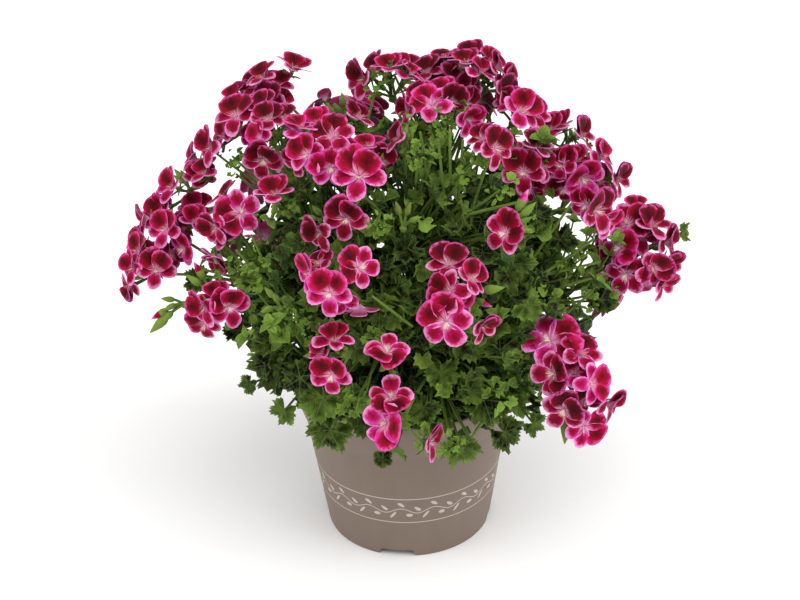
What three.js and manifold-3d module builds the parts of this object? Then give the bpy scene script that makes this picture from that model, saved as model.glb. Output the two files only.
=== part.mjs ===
// Angel pelargonium in a 13 cm plastic nursery pot: pot, soil plug, three rooted cuttings with their
// branches, leaves and buds, and the flower heads that stand on them.
// Millimetres, +Z up, origin at the middle of the pot's foot, the plant's front towards -Y.

import * as THREE from "three";
import { mergeVertices } from "three/addons/utils/BufferGeometryUtils.js";
import Module from "manifold-3d";

const wasm = await Module();
wasm.setup();

// Pot: a cone with a flared collar
const potHeight = 96;
const rimRadius = 65;
const collarFoot = 72;
const wallTopRadius = 57.3;
const collarFootRadius = 58.6;
const baseRadius = 47;
const wall = 1.4;
const potFacets = 34;
const footChamfer = 1;
const lipRound = 0.9;
const collarStep = 1.6;

// Drainage: channels under the floor, each with a hole in its roof
const channelCount = 4;
const channelFirstAngle = -99;
const channelInner = 24;
const channelHeight = 4.5;
const channelHalfFoot = 11.5;
const channelHalfRoof = 8.5;
const drainRadius = 4;
const drainDistance = 33;
const roundFacets = 16;

// Soil
const soilTop = 84;
const soilCrown = 3;
const seatGap = 0.3;
const stemHoleDepth = 14;
const stemHoleTool = 30;

// Stems
const woodRadius = 3.6;
const woodHeight = 16;
const woodSides = 8;
const lowerBend = { out: 0.22, rise: 0.36 };
const upperBend = { out: 0.62, rise: 0.75 };
const branchRadii = [2.9, 2.4, 2.1, 1.8, 1.5];
const branchSides = 4;
const peduncleRadii = [1.3, 1.2, 1.2];
const peduncleSides = 3;
const petioleRadii = [1.1, 0.9];
const pedicelRadii = [0.9, 1.5];
const budRadii = [0.8, 0.8, 2.3, 0.7];
const budSides = 3;
const hubRadius = 3;
const hubFaceDistance = hubRadius / Math.sqrt(3);
const peduncleInward = 34;
const peduncleDrop = 14;
const peduncleBend = 0.08;
const spotStep = 0.05;
const clearance = 0.35;
const endShare = 0.7;
const smallestEdge = 0.05;

// Flowers and leaves
const pedicelReach = 22;
const shortestForward = 0.35;
const backwardShare = -0.5;
const budForward = 0.3;
const bladeThickness = 1.7;
const bloomCup = 0.3;
const bloomFullness = 1.06;
const backBloomRadius = 14.5;
const backBloomSpread = 0.95;
const crownCentre = new THREE.Vector3(0, 10, 140);

// The eye that the heads are placed from, and its directions
const eye = new THREE.Vector3(0, -672, 488);
const eyeFocal = 1400;
const eyeColumn = 400;
const eyeRow = 300;
const eyePitch = THREE.MathUtils.degToRad(27.6);
const eyeRoll = THREE.MathUtils.degToRad(-1.5);
const eyeYaw = THREE.MathUtils.degToRad(-0.2);
const up = new THREE.Vector3(0, 0, 1);
const eyeAhead = new THREE.Vector3(
  Math.sin(eyeYaw) * Math.cos(eyePitch),
  Math.cos(eyeYaw) * Math.cos(eyePitch),
  -Math.sin(eyePitch),
);
const eyeLevel = eyeAhead.clone().cross(up).normalize();
const eyeRise = eyeLevel.clone().cross(eyeAhead);
const eyeRight = eyeLevel.clone()
  .multiplyScalar(Math.cos(eyeRoll))
  .addScaledVector(eyeRise, Math.sin(eyeRoll));
const eyeUp = eyeRise.clone()
  .multiplyScalar(Math.cos(eyeRoll))
  .addScaledVector(eyeLevel, -Math.sin(eyeRoll));

// Heads on the front. hub: column, row and Y in mm. blooms: column, row, the hour that the bloom looks
// towards, how many degrees it looks away from the eye, the hour of its two large petals, and its span
// in columns. buds: column and row.
const frontHeads = [
  {
    name: "head_left_tip",
    hub: [155, 275, -5],
    blooms: [[157, 270, 12, 10, 12, 40], [131, 267, 9, 50, 12, 36], [128, 288, 8, 60, 7, 32],
      [137, 249, 10, 50, 12, 36]],
    buds: [],
  },
  {
    name: "head_left_shoulder",
    hub: [172, 234, 8],
    blooms: [[165, 229, 10, 35, 12, 40], [143, 218, 9, 70, 12, 34], [181, 250, 8, 45, 2, 36],
      [195, 220, 1, 55, 12, 36]],
    buds: [],
  },
  {
    name: "head_left_upper",
    hub: [190, 190, 24],
    blooms: [[172, 185, 10, 50, 12, 40], [203, 171, 11, 60, 12, 38], [164, 206, 9, 50, 12, 36]],
    buds: [],
  },
  {
    name: "head_left_inner",
    hub: [235, 228, -20],
    blooms: [[240, 213, 12, 10, 8, 46], [222, 193, 11, 75, 12, 36], [213, 228, 8, 50, 10, 38],
      [217, 260, 7, 80, 6, 36]],
    buds: [[240, 250]],
  },
  {
    name: "head_left_cup",
    hub: [271, 222, -45],
    blooms: [[275, 197, 12, 70, 12, 40]],
    buds: [],
  },
  {
    name: "head_left_crest",
    hub: [240, 132, 25],
    blooms: [[235, 113, 11, 40, 12, 46], [246, 92, 12, 110, 12, 36], [208, 146, 9, 55, 12, 42]],
    buds: [],
  },
  {
    name: "head_top_left",
    hub: [277, 95, 40],
    blooms: [[261, 75, 11, 60, 12, 38], [270, 99, 9, 25, 12, 36], [295, 66, 1, 70, 1, 40]],
    buds: [],
  },
  {
    name: "head_left_heart",
    hub: [273, 142, 0],
    blooms: [[268, 118, 12, 40, 12, 36], [258, 138, 9, 45, 11, 36], [263, 160, 6, 30, 12, 42],
      [287, 126, 2, 105, 12, 34]],
    buds: [],
  },
  {
    name: "head_middle_left",
    hub: [320, 152, -35],
    blooms: [[300, 126, 12, 60, 11, 40], [333, 136, 12, 25, 11, 44], [306, 154, 9, 30, 11, 42],
      [330, 168, 6, 25, 11, 42]],
    buds: [],
  },
  {
    name: "head_middle",
    hub: [362, 196, -50],
    blooms: [[359, 176, 12, 12, 12, 54], [346, 218, 7, 20, 12, 46]],
    buds: [],
  },
  {
    name: "head_middle_rear",
    hub: [374, 162, -5],
    blooms: [[369, 143, 12, 75, 12, 38], [384, 162, 3, 45, 12, 38]],
    buds: [],
  },
  {
    name: "head_top_rear",
    hub: [343, 122, 20],
    blooms: [[322, 98, 11, 115, 12, 40], [360, 114, 1, 70, 12, 38]],
    buds: [[342, 95]],
  },
  {
    name: "head_top_first",
    hub: [392, 98, 30],
    blooms: [[362, 77, 9, 55, 12, 44], [390, 66, 12, 65, 12, 38], [411, 72, 1, 65, 12, 36]],
    buds: [[373, 94]],
  },
  {
    name: "head_top_second",
    hub: [440, 88, 62],
    blooms: [[427, 70, 11, 50, 12, 38], [453, 79, 1, 60, 11, 42], [446, 55, 12, 80, 12, 36]],
    buds: [],
  },
  {
    name: "head_top_third",
    hub: [428, 120, 15],
    blooms: [[405, 111, 9, 70, 12, 36], [432, 103, 12, 35, 10, 44], [453, 103, 4, 40, 12, 40]],
    buds: [],
  },
  {
    name: "head_top_tip",
    hub: [484, 90, 45],
    blooms: [[467, 60, 12, 70, 12, 38], [482, 70, 1, 55, 12, 36], [500, 66, 2, 70, 12, 36],
      [506, 90, 3, 60, 1, 38]],
    buds: [],
  },
  {
    name: "head_right_heart",
    hub: [476, 134, -5],
    blooms: [[469, 118, 4, 50, 12, 38]],
    buds: [],
  },
  {
    name: "head_middle_dark",
    hub: [404, 152, -25],
    blooms: [[396, 136, 10, 75, 12, 38]],
    buds: [],
  },
  {
    name: "head_right_crest",
    hub: [513, 124, 25],
    blooms: [[522, 110, 2, 35, 1, 44]],
    buds: [[496, 106]],
  },
  {
    name: "head_right_star",
    hub: [482, 156, -35],
    blooms: [[498, 148, 3, 40, 12, 44]],
    buds: [],
  },
  {
    name: "head_right_upper",
    hub: [530, 164, 8],
    blooms: [[524, 172, 9, 15, 12, 46], [536, 145, 1, 60, 12, 40]],
    buds: [],
  },
  {
    name: "head_right_rear",
    hub: [565, 147, 35],
    blooms: [[550, 128, 12, 55, 12, 40], [582, 133, 2, 65, 12, 40]],
    buds: [],
  },
  {
    name: "head_right_shoulder",
    hub: [589, 174, 8],
    blooms: [[561, 165, 10, 35, 12, 38], [583, 178, 5, 30, 11, 46], [603, 156, 2, 55, 12, 38],
      [619, 178, 3, 60, 12, 38], [562, 191, 7, 45, 12, 32]],
    buds: [],
  },
  {
    name: "head_right_inner",
    hub: [586, 208, -25],
    blooms: [[598, 210, 3, 40, 11, 48]],
    buds: [],
  },
  {
    name: "head_right_tip",
    hub: [641, 250, -5],
    blooms: [[628, 223, 12, 25, 3, 46], [619, 248, 9, 35, 3, 42], [652, 224, 1, 50, 12, 44],
      [670, 243, 3, 60, 12, 40], [654, 267, 5, 35, 2, 42], [626, 275, 7, 30, 1, 44],
      [664, 284, 4, 60, 12, 36]],
    buds: [[613, 298]],
  },
  {
    name: "head_centre_cup",
    hub: [326, 223, -58],
    blooms: [[317, 233, 8, 55, 11, 42]],
    buds: [],
  },
  {
    name: "head_centre_left",
    hub: [343, 288, -88],
    blooms: [[307, 272, 9, 60, 12, 42], [330, 293, 8, 12, 12, 48], [360, 267, 2, 30, 9, 44],
      [359, 311, 6, 110, 12, 40]],
    buds: [[342, 268]],
  },
  {
    name: "head_centre_right",
    hub: [462, 297, -88],
    blooms: [[449, 263, 12, 40, 12, 46], [448, 291, 9, 35, 9, 46], [446, 322, 7, 15, 11, 56],
      [484, 326, 4, 60, 12, 38], [473, 277, 2, 55, 1, 40]],
    buds: [[502, 288], [490, 306]],
  },
  {
    name: "head_right_face",
    hub: [507, 234, -60],
    blooms: [[504, 233, 9, 30, 2, 46]],
    buds: [[527, 192], [534, 204], [530, 218]],
  },
  {
    name: "head_front_cup",
    hub: [389, 366, -100],
    blooms: [[387, 350, 12, 40, 6, 46]],
    buds: [],
  },
  {
    name: "head_front_left",
    hub: [346, 355, -98],
    blooms: [[334, 338, 12, 55, 12, 42], [331, 376, 7, 25, 12, 44]],
    buds: [[306, 356]],
  },
  {
    name: "head_front_low",
    hub: [404, 417, -106],
    blooms: [[394, 400, 12, 20, 6, 42], [386, 428, 8, 25, 4, 42], [437, 443, 3, 75, 12, 40]],
    buds: [],
  },
  {
    name: "head_front_right",
    hub: [572, 385, -80],
    blooms: [[550, 340, 11, 25, 3, 60], [553, 374, 9, 30, 3, 46], [564, 410, 7, 25, 1, 46],
      [585, 428, 5, 35, 3, 44], [594, 384, 3, 40, 3, 44], [612, 406, 4, 60, 12, 40],
      [582, 352, 1, 45, 12, 44]],
    buds: [[565, 440]],
  },
  {
    name: "head_low_left",
    hub: [214, 298, -45],
    blooms: [[229, 307, 4, 25, 11, 44], [202, 308, 8, 50, 11, 42]],
    buds: [[188, 276], [195, 264]],
  },
];

// Heads still in bud, green all over: hub column, row and Y, then the buds
const budHeads = [
  { hub: [403, 228, -60], buds: [[397, 206], [409, 207], [416, 219]] },
  { hub: [160, 312, -20], buds: [[153, 322], [163, 297], [147, 331]] },
  { hub: [280, 308, -70], buds: [[276, 298], [268, 291], [266, 310]] },
];

// Heads on the back, as bearing from +X and height of the hub, in degrees and mm
const backHeads = [
  [18, 128], [56, 120], [98, 118], [140, 124],
  [8, 178], [48, 176], [90, 180], [134, 176],
  [66, 214], [116, 202],
];
const backSpread = new THREE.Vector2(112, 98);
const backNarrowing = 0.0075;
const backNarrowingAbove = 0.8;
const backRise = 25;
const backBloomsPerHead = 3;

// Leaves seen between the flowers: column, row, Y, span in columns, hour of the tip, hour and degrees
// that the blade looks away from the eye
const seenLeaves = [
  [330, 430, -84, 54, 7, 6, 20], [461, 447, -92, 48, 5, 6, 30], [441, 372, -84, 44, 6, 12, 35],
  [424, 408, -88, 42, 7, 12, 20], [300, 378, -78, 46, 8, 9, 20], [284, 411, -70, 36, 7, 8, 30],
  [250, 384, -58, 26, 7, 9, 30], [383, 458, -100, 24, 6, 12, 20], [505, 432, -82, 46, 4, 4, 25],
  [525, 305, -70, 46, 3, 12, 25], [536, 216, -34, 42, 2, 12, 20], [370, 232, -62, 42, 6, 12, 30],
  [421, 300, -86, 36, 12, 12, 40], [334, 258, -66, 40, 9, 9, 20], [388, 268, -62, 44, 5, 12, 30],
  [683, 232, -5, 24, 3, 3, 40], [470, 390, -84, 44, 3, 12, 30], [500, 350, -76, 46, 4, 12, 35],
  [270, 340, -66, 44, 8, 12, 30], [240, 330, -50, 40, 9, 12, 30], [440, 180, -40, 44, 12, 12, 30],
  [455, 225, -50, 46, 3, 12, 30], [410, 250, -60, 40, 8, 12, 30], [560, 240, -30, 42, 3, 12, 35],
  [300, 190, -30, 42, 10, 12, 30], [200, 280, -20, 38, 8, 12, 30], [600, 300, -30, 42, 3, 12, 35],
  [534, 424, -70, 32, 4, 4, 30],
];

// Leaves of the rest of the crown, laid on a smaller crown inside the flowers
const seenLeafShare = 0.9;
const ringLeaves = [
  { count: 12, height: 102, radius: 67, leaf: 16 },
  { count: 10, height: 124, radius: 88, leaf: 15 },
  { count: 9, height: 152, radius: 84, leaf: 15 },
  { count: 7, height: 184, radius: 68, leaf: 14 },
  { count: 4, height: 212, radius: 44, leaf: 13 },
];
const ringFirst = 15;
const ringTwist = 17;
const ringTurnJitter = 20;
const ringJitter = 18;

// Branches of each cutting: where it is rooted, then the tips that its branches reach
const cuttings = [
  {
    name: "stems_left",
    root: [-17, 6],
    tips: [[-92, -12, 158], [-66, 8, 204], [-62, 56, 168], [-34, 26, 226]],
  },
  {
    name: "stems_right",
    root: [17, 8],
    tips: [[98, -14, 150], [72, 10, 198], [62, 58, 166], [26, 34, 234], [0, 70, 190]],
  },
  {
    name: "stems_front",
    root: [0, -15],
    tips: [[-52, -52, 130], [-14, -64, 150], [24, -66, 138], [62, -48, 128], [4, -30, 196]],
  },
];

const potMaterial = new THREE.MeshStandardMaterial({ color: 0x8c7c6e, roughness: 0.55, metalness: 0 });
const soilMaterial = new THREE.MeshStandardMaterial({ color: 0x2e221a, roughness: 0.95, metalness: 0 });
const stemMaterial = new THREE.MeshStandardMaterial({ color: 0x3f6a28, roughness: 0.6, metalness: 0 });
const petalMaterial = new THREE.MeshStandardMaterial({ color: 0xb01248, roughness: 0.55, metalness: 0 });

// The same run of random numbers each time, from 0 to 1
function randomRun(seed) {
  let state = seed;
  return () => {
    state = (state * 16807) % 2147483647;
    return state / 2147483647;
  };
}

// Solids from geometries, and back

function solidOf(geometry) {
  const bare = geometry.index ? geometry.toNonIndexed() : geometry.clone();
  bare.deleteAttribute("normal");
  bare.deleteAttribute("uv");
  const merged = mergeVertices(bare, 1e-4);
  const corners = [];
  const index = merged.index.array;
  for (let i = 0; i < index.length; i += 3) {
    const [a, b, c] = [index[i], index[i + 1], index[i + 2]];
    if (a !== b && b !== c && c !== a) corners.push(a, b, c);
  }
  return new wasm.Manifold(new wasm.Mesh({
    numProp: 3,
    vertProperties: new Float32Array(merged.attributes.position.array),
    triVerts: new Uint32Array(corners),
  }));
}

function meshOf(name, solid, material) {
  const { vertProperties, triVerts } = solid.simplify(smallestEdge).getMesh();
  const geometry = new THREE.BufferGeometry();
  geometry.setAttribute("position", new THREE.BufferAttribute(new Float32Array(vertProperties), 3));
  geometry.setIndex(new THREE.BufferAttribute(new Uint32Array(triVerts), 1));
  geometry.computeVertexNormals();
  const mesh = new THREE.Mesh(geometry, material);
  mesh.name = name;
  return mesh;
}

function fused(solids) {
  return wasm.Manifold.union(solids);
}

function largestBody(solid) {
  const bodies = solid.decompose();
  return bodies.reduce((kept, body) => (body.volume() > kept.volume() ? body : kept));
}

// A solid of revolution about Z from [radius, height] pairs that start and end on the axis
function turned(profile, facets) {
  const points = profile.map(([radius, height]) => new THREE.Vector2(radius, height));
  return new THREE.LatheGeometry(points, facets).rotateX(Math.PI / 2);
}

// A cylinder bent along a curve, with one radius for each of its rings
function bentCylinder(curve, radii, sides) {
  const steps = radii.length - 1;
  const geometry = new THREE.CylinderGeometry(1, 1, 1, sides, steps);
  const frames = curve.computeFrenetFrames(steps, false);
  const position = geometry.attributes.position;
  for (let i = 0; i < position.count; i += 1) {
    const ring = Math.round((position.getY(i) + 0.5) * steps);
    const point = curve.getPointAt(ring / steps);
    point.addScaledVector(frames.normals[ring], position.getX(i) * radii[ring]);
    point.addScaledVector(frames.binormals[ring], -position.getZ(i) * radii[ring]);
    position.setXYZ(i, point.x, point.y, point.z);
  }
  return geometry;
}

// Rings of three corners along a stalk, turned so that the last one lies square to the blade
function stalkRings(frame, curve, radii) {
  const rings = [];
  const across = frame.upward.clone();
  let heading = frame.normal;
  for (let ring = radii.length - 1; ring >= 0; ring -= 1) {
    const share = ring / (radii.length - 1);
    const next = share === 1 ? frame.normal : curve.getTangentAt(share);
    across.applyQuaternion(new THREE.Quaternion().setFromUnitVectors(heading, next));
    heading = next;
    const side = across.clone().cross(heading);
    rings.unshift([60, 180, 300].map((degrees) => {
      const angle = THREE.MathUtils.degToRad(degrees);
      return curve.getPointAt(share)
        .addScaledVector(across, Math.cos(angle) * radii[ring])
        .addScaledVector(side, Math.sin(angle) * radii[ring]);
    }));
  }
  return rings;
}

// A thin blade on a three-sided stalk. The face is a fan from one middle point to the outline, whose
// corners are [degrees, reach, rise] in rising degrees, and the back is stitched to the stalk's end.
function stalkedBlade(frame, outline, face, curve, radii) {
  const rings = stalkRings(frame, curve, radii);
  const rim = outline.map(([degrees, reach, rise]) => inFrame(frame, degrees, reach, rise));
  const count = rim.length;
  const rimAt = (i) => 1 + (i % count);
  const ringAt = (ring, k) => 1 + count + ring * 3 + (k % 3);
  const thirdOf = (i) => Math.floor(outline[i % count][0] / 120);
  const last = rings.length - 1;
  const index = [ringAt(0, 0), ringAt(0, 1), ringAt(0, 2)];
  for (let i = 0; i < count; i += 1) {
    const third = thirdOf(i);
    index.push(0, rimAt(i + 1), rimAt(i), ringAt(last, third), rimAt(i), rimAt(i + 1));
    if (thirdOf(i + 1) !== third) index.push(ringAt(last, third), rimAt(i + 1), ringAt(last, third + 1));
  }
  for (let ring = 0; ring < last; ring += 1) {
    for (let k = 0; k < 3; k += 1) {
      index.push(ringAt(ring + 1, k), ringAt(ring + 1, k + 1), ringAt(ring, k + 1));
      index.push(ringAt(ring + 1, k), ringAt(ring, k + 1), ringAt(ring, k));
    }
  }
  const geometry = new THREE.BufferGeometry().setFromPoints([face, ...rim, ...rings.flat()]);
  geometry.setIndex(index);
  return geometry;
}

// Sight lines

function pointAhead(column, row, ahead) {
  return eye.clone()
    .addScaledVector(eyeAhead, ahead)
    .addScaledVector(eyeRight, ((column - eyeColumn) / eyeFocal) * ahead)
    .addScaledVector(eyeUp, ((eyeRow - row) / eyeFocal) * ahead);
}

function pointAtDepth(column, row, depth) {
  const ray = pointAhead(column, row, 1).sub(eye);
  return eye.clone().addScaledVector(ray, (depth - eye.y) / ray.y);
}

function aheadOf(point) {
  return point.clone().sub(eye).dot(eyeAhead);
}

// A direction given as an hour on the picture's clock and degrees away from the eye
function hourDirection(hour, away) {
  const turn = (hour / 12) * 2 * Math.PI;
  const lean = THREE.MathUtils.degToRad(away);
  return eyeAhead.clone().multiplyScalar(-Math.cos(lean))
    .addScaledVector(eyeRight, Math.sin(lean) * Math.sin(turn))
    .addScaledVector(eyeUp, Math.sin(lean) * Math.cos(turn));
}

// Frame of a flower or leaf: it looks along normal, its top lies towards top
function frameOf(centre, normal, top, radius) {
  const upward = top.clone().addScaledVector(normal, -top.dot(normal)).normalize();
  const side = upward.clone().cross(normal);
  return { centre, normal, upward, side, radius };
}

function inFrame(frame, degrees, reach, rise) {
  const angle = THREE.MathUtils.degToRad(degrees);
  return frame.centre.clone()
    .addScaledVector(frame.upward, Math.cos(angle) * reach * frame.radius)
    .addScaledVector(frame.side, Math.sin(angle) * reach * frame.radius)
    .addScaledVector(frame.normal, rise * frame.radius);
}

// Flowers: two large petals above, three narrower ones below, as [middle, half width, reach]
const petals = [[34, 34, 1], [104, 30, 0.9], [180, 32, 0.92], [256, 30, 0.9], [326, 34, 1]];
const notchReach = [0.6, 0.5, 0.5, 0.6, 0.84];
const shoulder = 0.6;

function bloomOutline() {
  const outline = [[0, notchReach[4], bloomCup * 0.75]];
  petals.forEach(([middle, half, reach], petal) => {
    const lift = bloomCup + (petal % 2 ? 0.04 : -0.04);
    outline.push([middle - half * shoulder, reach, lift]);
    outline.push([middle + half * shoulder, reach, lift]);
    if (petal < 4) outline.push([middle + half + 3, notchReach[petal], bloomCup * 0.75]);
  });
  return outline;
}

function bloomSolid(hub, frame) {
  const face = frame.centre.clone().addScaledVector(frame.normal, bladeThickness);
  const stalk = new THREE.LineCurve3(hub, frame.centre);
  return solidOf(stalkedBlade(frame, bloomOutline(), face, stalk, pedicelRadii));
}

function budCurve(hub, tip) {
  const bend = hub.clone().lerp(tip, 0.5).addScaledVector(up, 2);
  return new THREE.QuadraticBezierCurve3(hub, bend, tip);
}

// The knot that the flower stalks meet in: one of its eight faces looks down its own stem
function hubSolid({ hub, arrival }) {
  const corner = new THREE.Vector3(-1, -1, -1).normalize();
  const knot = new THREE.OctahedronGeometry(hubRadius, 0);
  knot.applyQuaternion(new THREE.Quaternion().setFromUnitVectors(corner, arrival));
  return solidOf(knot.translate(hub.x, hub.y, hub.z));
}

function grown(radii, grow) {
  return radii.map((radius) => radius + grow);
}

// One head as a solid: hub, stalked flowers and buds
function headSolid(head) {
  const flowers = head.blooms.map((frame) => bloomSolid(head.hub, frame));
  const buds = head.buds.map((tip) => solidOf(bentCylinder(budCurve(head.hub, tip), budRadii, budSides)));
  return fused([hubSolid(head), ...flowers, ...buds]);
}

// Places of the heads

function placedBloom(hub, [column, row, hour, away, topHour, span]) {
  const hubAhead = aheadOf(hub);
  const beside = pointAhead(column, row, hubAhead).distanceTo(hub);
  const least = (shortestForward * pedicelReach) ** 2;
  const forward = Math.sqrt(Math.max(pedicelReach ** 2 - beside ** 2, least));
  const ahead = hubAhead - forward * (away > 90 ? backwardShare : 1);
  const centre = pointAhead(column, row, ahead);
  const normal = hourDirection(hour, away);
  const radius = (span / 2) * (ahead / eyeFocal) * bloomFullness;
  return frameOf(centre, normal, hourDirection(topHour, 90), radius);
}

function placedFrontHead({ name, hub, blooms, buds }) {
  const place = pointAtDepth(...hub);
  const ahead = aheadOf(place) - pedicelReach * budForward;
  return {
    name,
    hub: place,
    blooms: blooms.map((bloom) => placedBloom(place, bloom)),
    buds: buds.map(([column, row]) => pointAhead(column, row, ahead)),
  };
}

function placedBackHead([bearing, height], number) {
  const random = randomRun(700 + number * 31);
  const angle = THREE.MathUtils.degToRad(bearing);
  const off = height > crownCentre.z ? (height - crownCentre.z) * backNarrowingAbove : crownCentre.z - height;
  const narrow = 1 - backNarrowing * off;
  const hub = new THREE.Vector3(
    Math.cos(angle) * backSpread.x * narrow,
    crownCentre.y + Math.sin(angle) * backSpread.y * narrow,
    height,
  );
  const outward = hub.clone().sub(crownCentre).addScaledVector(up, backRise).normalize();
  const side = outward.clone().cross(up).normalize();
  const rise = side.clone().cross(outward);
  const blooms = [];
  for (let i = 0; i < backBloomsPerHead; i += 1) {
    const turn = ((i + random()) / backBloomsPerHead) * 2 * Math.PI;
    const normal = outward.clone()
      .addScaledVector(side, Math.cos(turn) * backBloomSpread)
      .addScaledVector(rise, Math.sin(turn) * backBloomSpread)
      .normalize();
    const centre = hub.clone().addScaledVector(normal, pedicelReach);
    blooms.push(frameOf(centre, normal, rise, backBloomRadius * (0.9 + 0.2 * random())));
  }
  return { name: `head_back_${number + 1}`, hub, blooms, buds: [] };
}

// Branches

function branchCurve([x, y], [tipX, tipY, tipZ]) {
  const foot = soilTop + soilCrown + woodHeight * 0.5;
  return new THREE.CatmullRomCurve3([
    new THREE.Vector3(x, y, foot),
    ...[lowerBend, upperBend].map(({ out, rise }) => (
      new THREE.Vector3(x + (tipX - x) * out, y + (tipY - y) * out, foot + (tipZ - foot) * rise)
    )),
    new THREE.Vector3(tipX, tipY, tipZ),
  ]);
}

function rootSolid([x, y]) {
  const bottom = soilTop - stemHoleDepth + seatGap;
  const top = soilTop + soilCrown + woodHeight;
  const curve = new THREE.LineCurve3(new THREE.Vector3(x, y, bottom), new THREE.Vector3(x, y, top));
  return solidOf(bentCylinder(curve, [woodRadius, woodRadius, woodRadius * 0.75], woodSides));
}

function placedCutting({ name, root, tips }) {
  return { name, root, branches: tips.map((tip) => branchCurve(root, tip)) };
}

// The spot on any branch that lies nearest to a wanted point
function nearestSpot(plants, wanted, from, to) {
  let best = { gap: Infinity };
  for (const plant of plants) {
    for (const branch of plant.branches) {
      for (let share = from; share < to + spotStep / 2; share += spotStep) {
        const point = branch.getPointAt(Math.min(share, 1));
        const gap = point.distanceTo(wanted);
        if (gap < best.gap) best = { gap, point, plant };
      }
    }
  }
  return best;
}

// A peduncle climbs from the nearest branch and stops just short of its hub
function peduncleOf(plants, hub, stop) {
  const inward = crownCentre.clone().sub(hub).normalize();
  const wanted = hub.clone().addScaledVector(inward, peduncleInward).addScaledVector(up, -peduncleDrop);
  const { point, plant } = nearestSpot(plants, wanted, 0.35, 0.95);
  const middle = point.clone().lerp(hub, 0.55).addScaledVector(up, hub.distanceTo(point) * peduncleBend);
  const arrival = hub.clone().sub(middle).normalize();
  const end = hub.clone().addScaledVector(arrival, -stop);
  return { plant, curve: new THREE.QuadraticBezierCurve3(point, middle, end) };
}

// Leaves: rounded lobes round the stalk's end, as [degrees, reach] for one side
const leafSide = [[28, 0.84], [56, 1], [88, 0.8], [122, 0.88]];
const leafCup = 0.2;
const leafWave = 0.06;

function leafOutline() {
  const right = leafSide.map(([degrees, reach], i) => [degrees, reach, i % 2 ? 1 : -1]);
  const left = right.map(([degrees, reach, wave]) => [360 - degrees, reach, -wave]).reverse();
  const all = [[0, 1.04, 1], ...right, [180, 0.2, -2], ...left];
  return all.map(([degrees, reach, wave]) => (
    [degrees, reach, reach * reach * leafCup + wave * leafWave]
  ));
}

function leafSolid({ frame, foot }) {
  const face = frame.centre.clone().addScaledVector(frame.normal, bladeThickness * 0.9);
  const stalk = new THREE.LineCurve3(foot, frame.centre);
  return solidOf(stalkedBlade(frame, leafOutline(), face, stalk, petioleRadii));
}

function placedLeaf(plants, frame) {
  const wanted = frame.centre.clone().lerp(crownCentre, 0.3).addScaledVector(up, -10);
  const { point, plant } = nearestSpot(plants, wanted, 0.2, 1);
  return { frame, foot: point, plant };
}

function seenLeafFrame([column, row, depth, span, tipHour, hour, away]) {
  const centre = pointAtDepth(column, row, depth);
  const normal = hourDirection(hour, away);
  const radius = (span / 2) * (aheadOf(centre) / eyeFocal) * seenLeafShare;
  return frameOf(centre, normal, hourDirection(tipHour, 90), radius);
}

function ringLeafFrames() {
  const random = randomRun(4711);
  const frames = [];
  ringLeaves.forEach(({ count, height, radius, leaf }, ring) => {
    for (let i = 0; i < count; i += 1) {
      const turn = ringFirst + ring * ringTwist + (i / count) * 360 + (random() - 0.5) * ringTurnJitter;
      const bearing = THREE.MathUtils.degToRad(turn);
      const reach = radius + (random() - 0.5) * ringJitter;
      const centre = new THREE.Vector3(
        Math.cos(bearing) * reach,
        Math.sin(bearing) * reach + crownCentre.y * 0.5,
        height + (random() - 0.5) * ringJitter,
      );
      const outward = new THREE.Vector3(Math.cos(bearing), Math.sin(bearing), 0);
      const normal = outward.clone().multiplyScalar(0.7).addScaledVector(up, 0.8).normalize();
      const tip = outward.clone().addScaledVector(up, -0.5);
      frames.push(frameOf(centre, normal, tip, leaf * (0.85 + 0.3 * random())));
    }
  });
  return frames;
}

// Pot

function potSide(offset) {
  return [
    [baseRadius - offset, footChamfer], [wallTopRadius - offset, collarFoot],
    [collarFootRadius - offset, collarFoot + collarStep], [rimRadius - offset, potHeight - lipRound],
  ];
}

function channelBlock(extra, from) {
  const half = channelHalfFoot + extra;
  const halfRoof = channelHalfRoof + extra;
  const height = channelHeight + extra;
  const section = new THREE.Shape([
    new THREE.Vector2(-half, -1), new THREE.Vector2(half, -1),
    new THREE.Vector2(halfRoof, height), new THREE.Vector2(-halfRoof, height),
  ]);
  const block = new THREE.ExtrudeGeometry(section, { depth: rimRadius - from, bevelEnabled: false });
  return block.rotateX(Math.PI / 2).rotateZ(Math.PI / 2).translate(from, 0, 0);
}

function channels(extra) {
  const from = channelInner - extra;
  return Array.from({ length: channelCount }, (_, i) => {
    const bearing = THREE.MathUtils.degToRad(channelFirstAngle + (i * 360) / channelCount);
    return solidOf(channelBlock(extra, from).rotateZ(bearing));
  });
}

function drainHoles() {
  return Array.from({ length: channelCount }, (_, i) => {
    const bearing = THREE.MathUtils.degToRad(channelFirstAngle + (i * 360) / channelCount);
    const length = (channelHeight + wall) * 2;
    const hole = new THREE.CylinderGeometry(drainRadius, drainRadius, length, roundFacets);
    hole.rotateX(Math.PI / 2);
    hole.translate(Math.cos(bearing) * drainDistance, Math.sin(bearing) * drainDistance, channelHeight);
    return solidOf(hole);
  });
}

function potSolid() {
  const above = potHeight + wall;
  const outer = [[0, 0], [baseRadius - footChamfer, 0], ...potSide(0)];
  outer.push([rimRadius - lipRound / 2, potHeight], [0, potHeight]);
  const inner = [[0, wall], [baseRadius - wall, wall], ...potSide(wall).slice(1)];
  inner.push([rimRadius - wall, above], [0, above]);
  const outside = solidOf(turned(outer, potFacets));
  const hollow = solidOf(turned(inner, potFacets)).subtract(fused(channels(wall)));
  return outside.subtract(hollow).subtract(fused([...channels(0), ...drainHoles()]));
}

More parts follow.
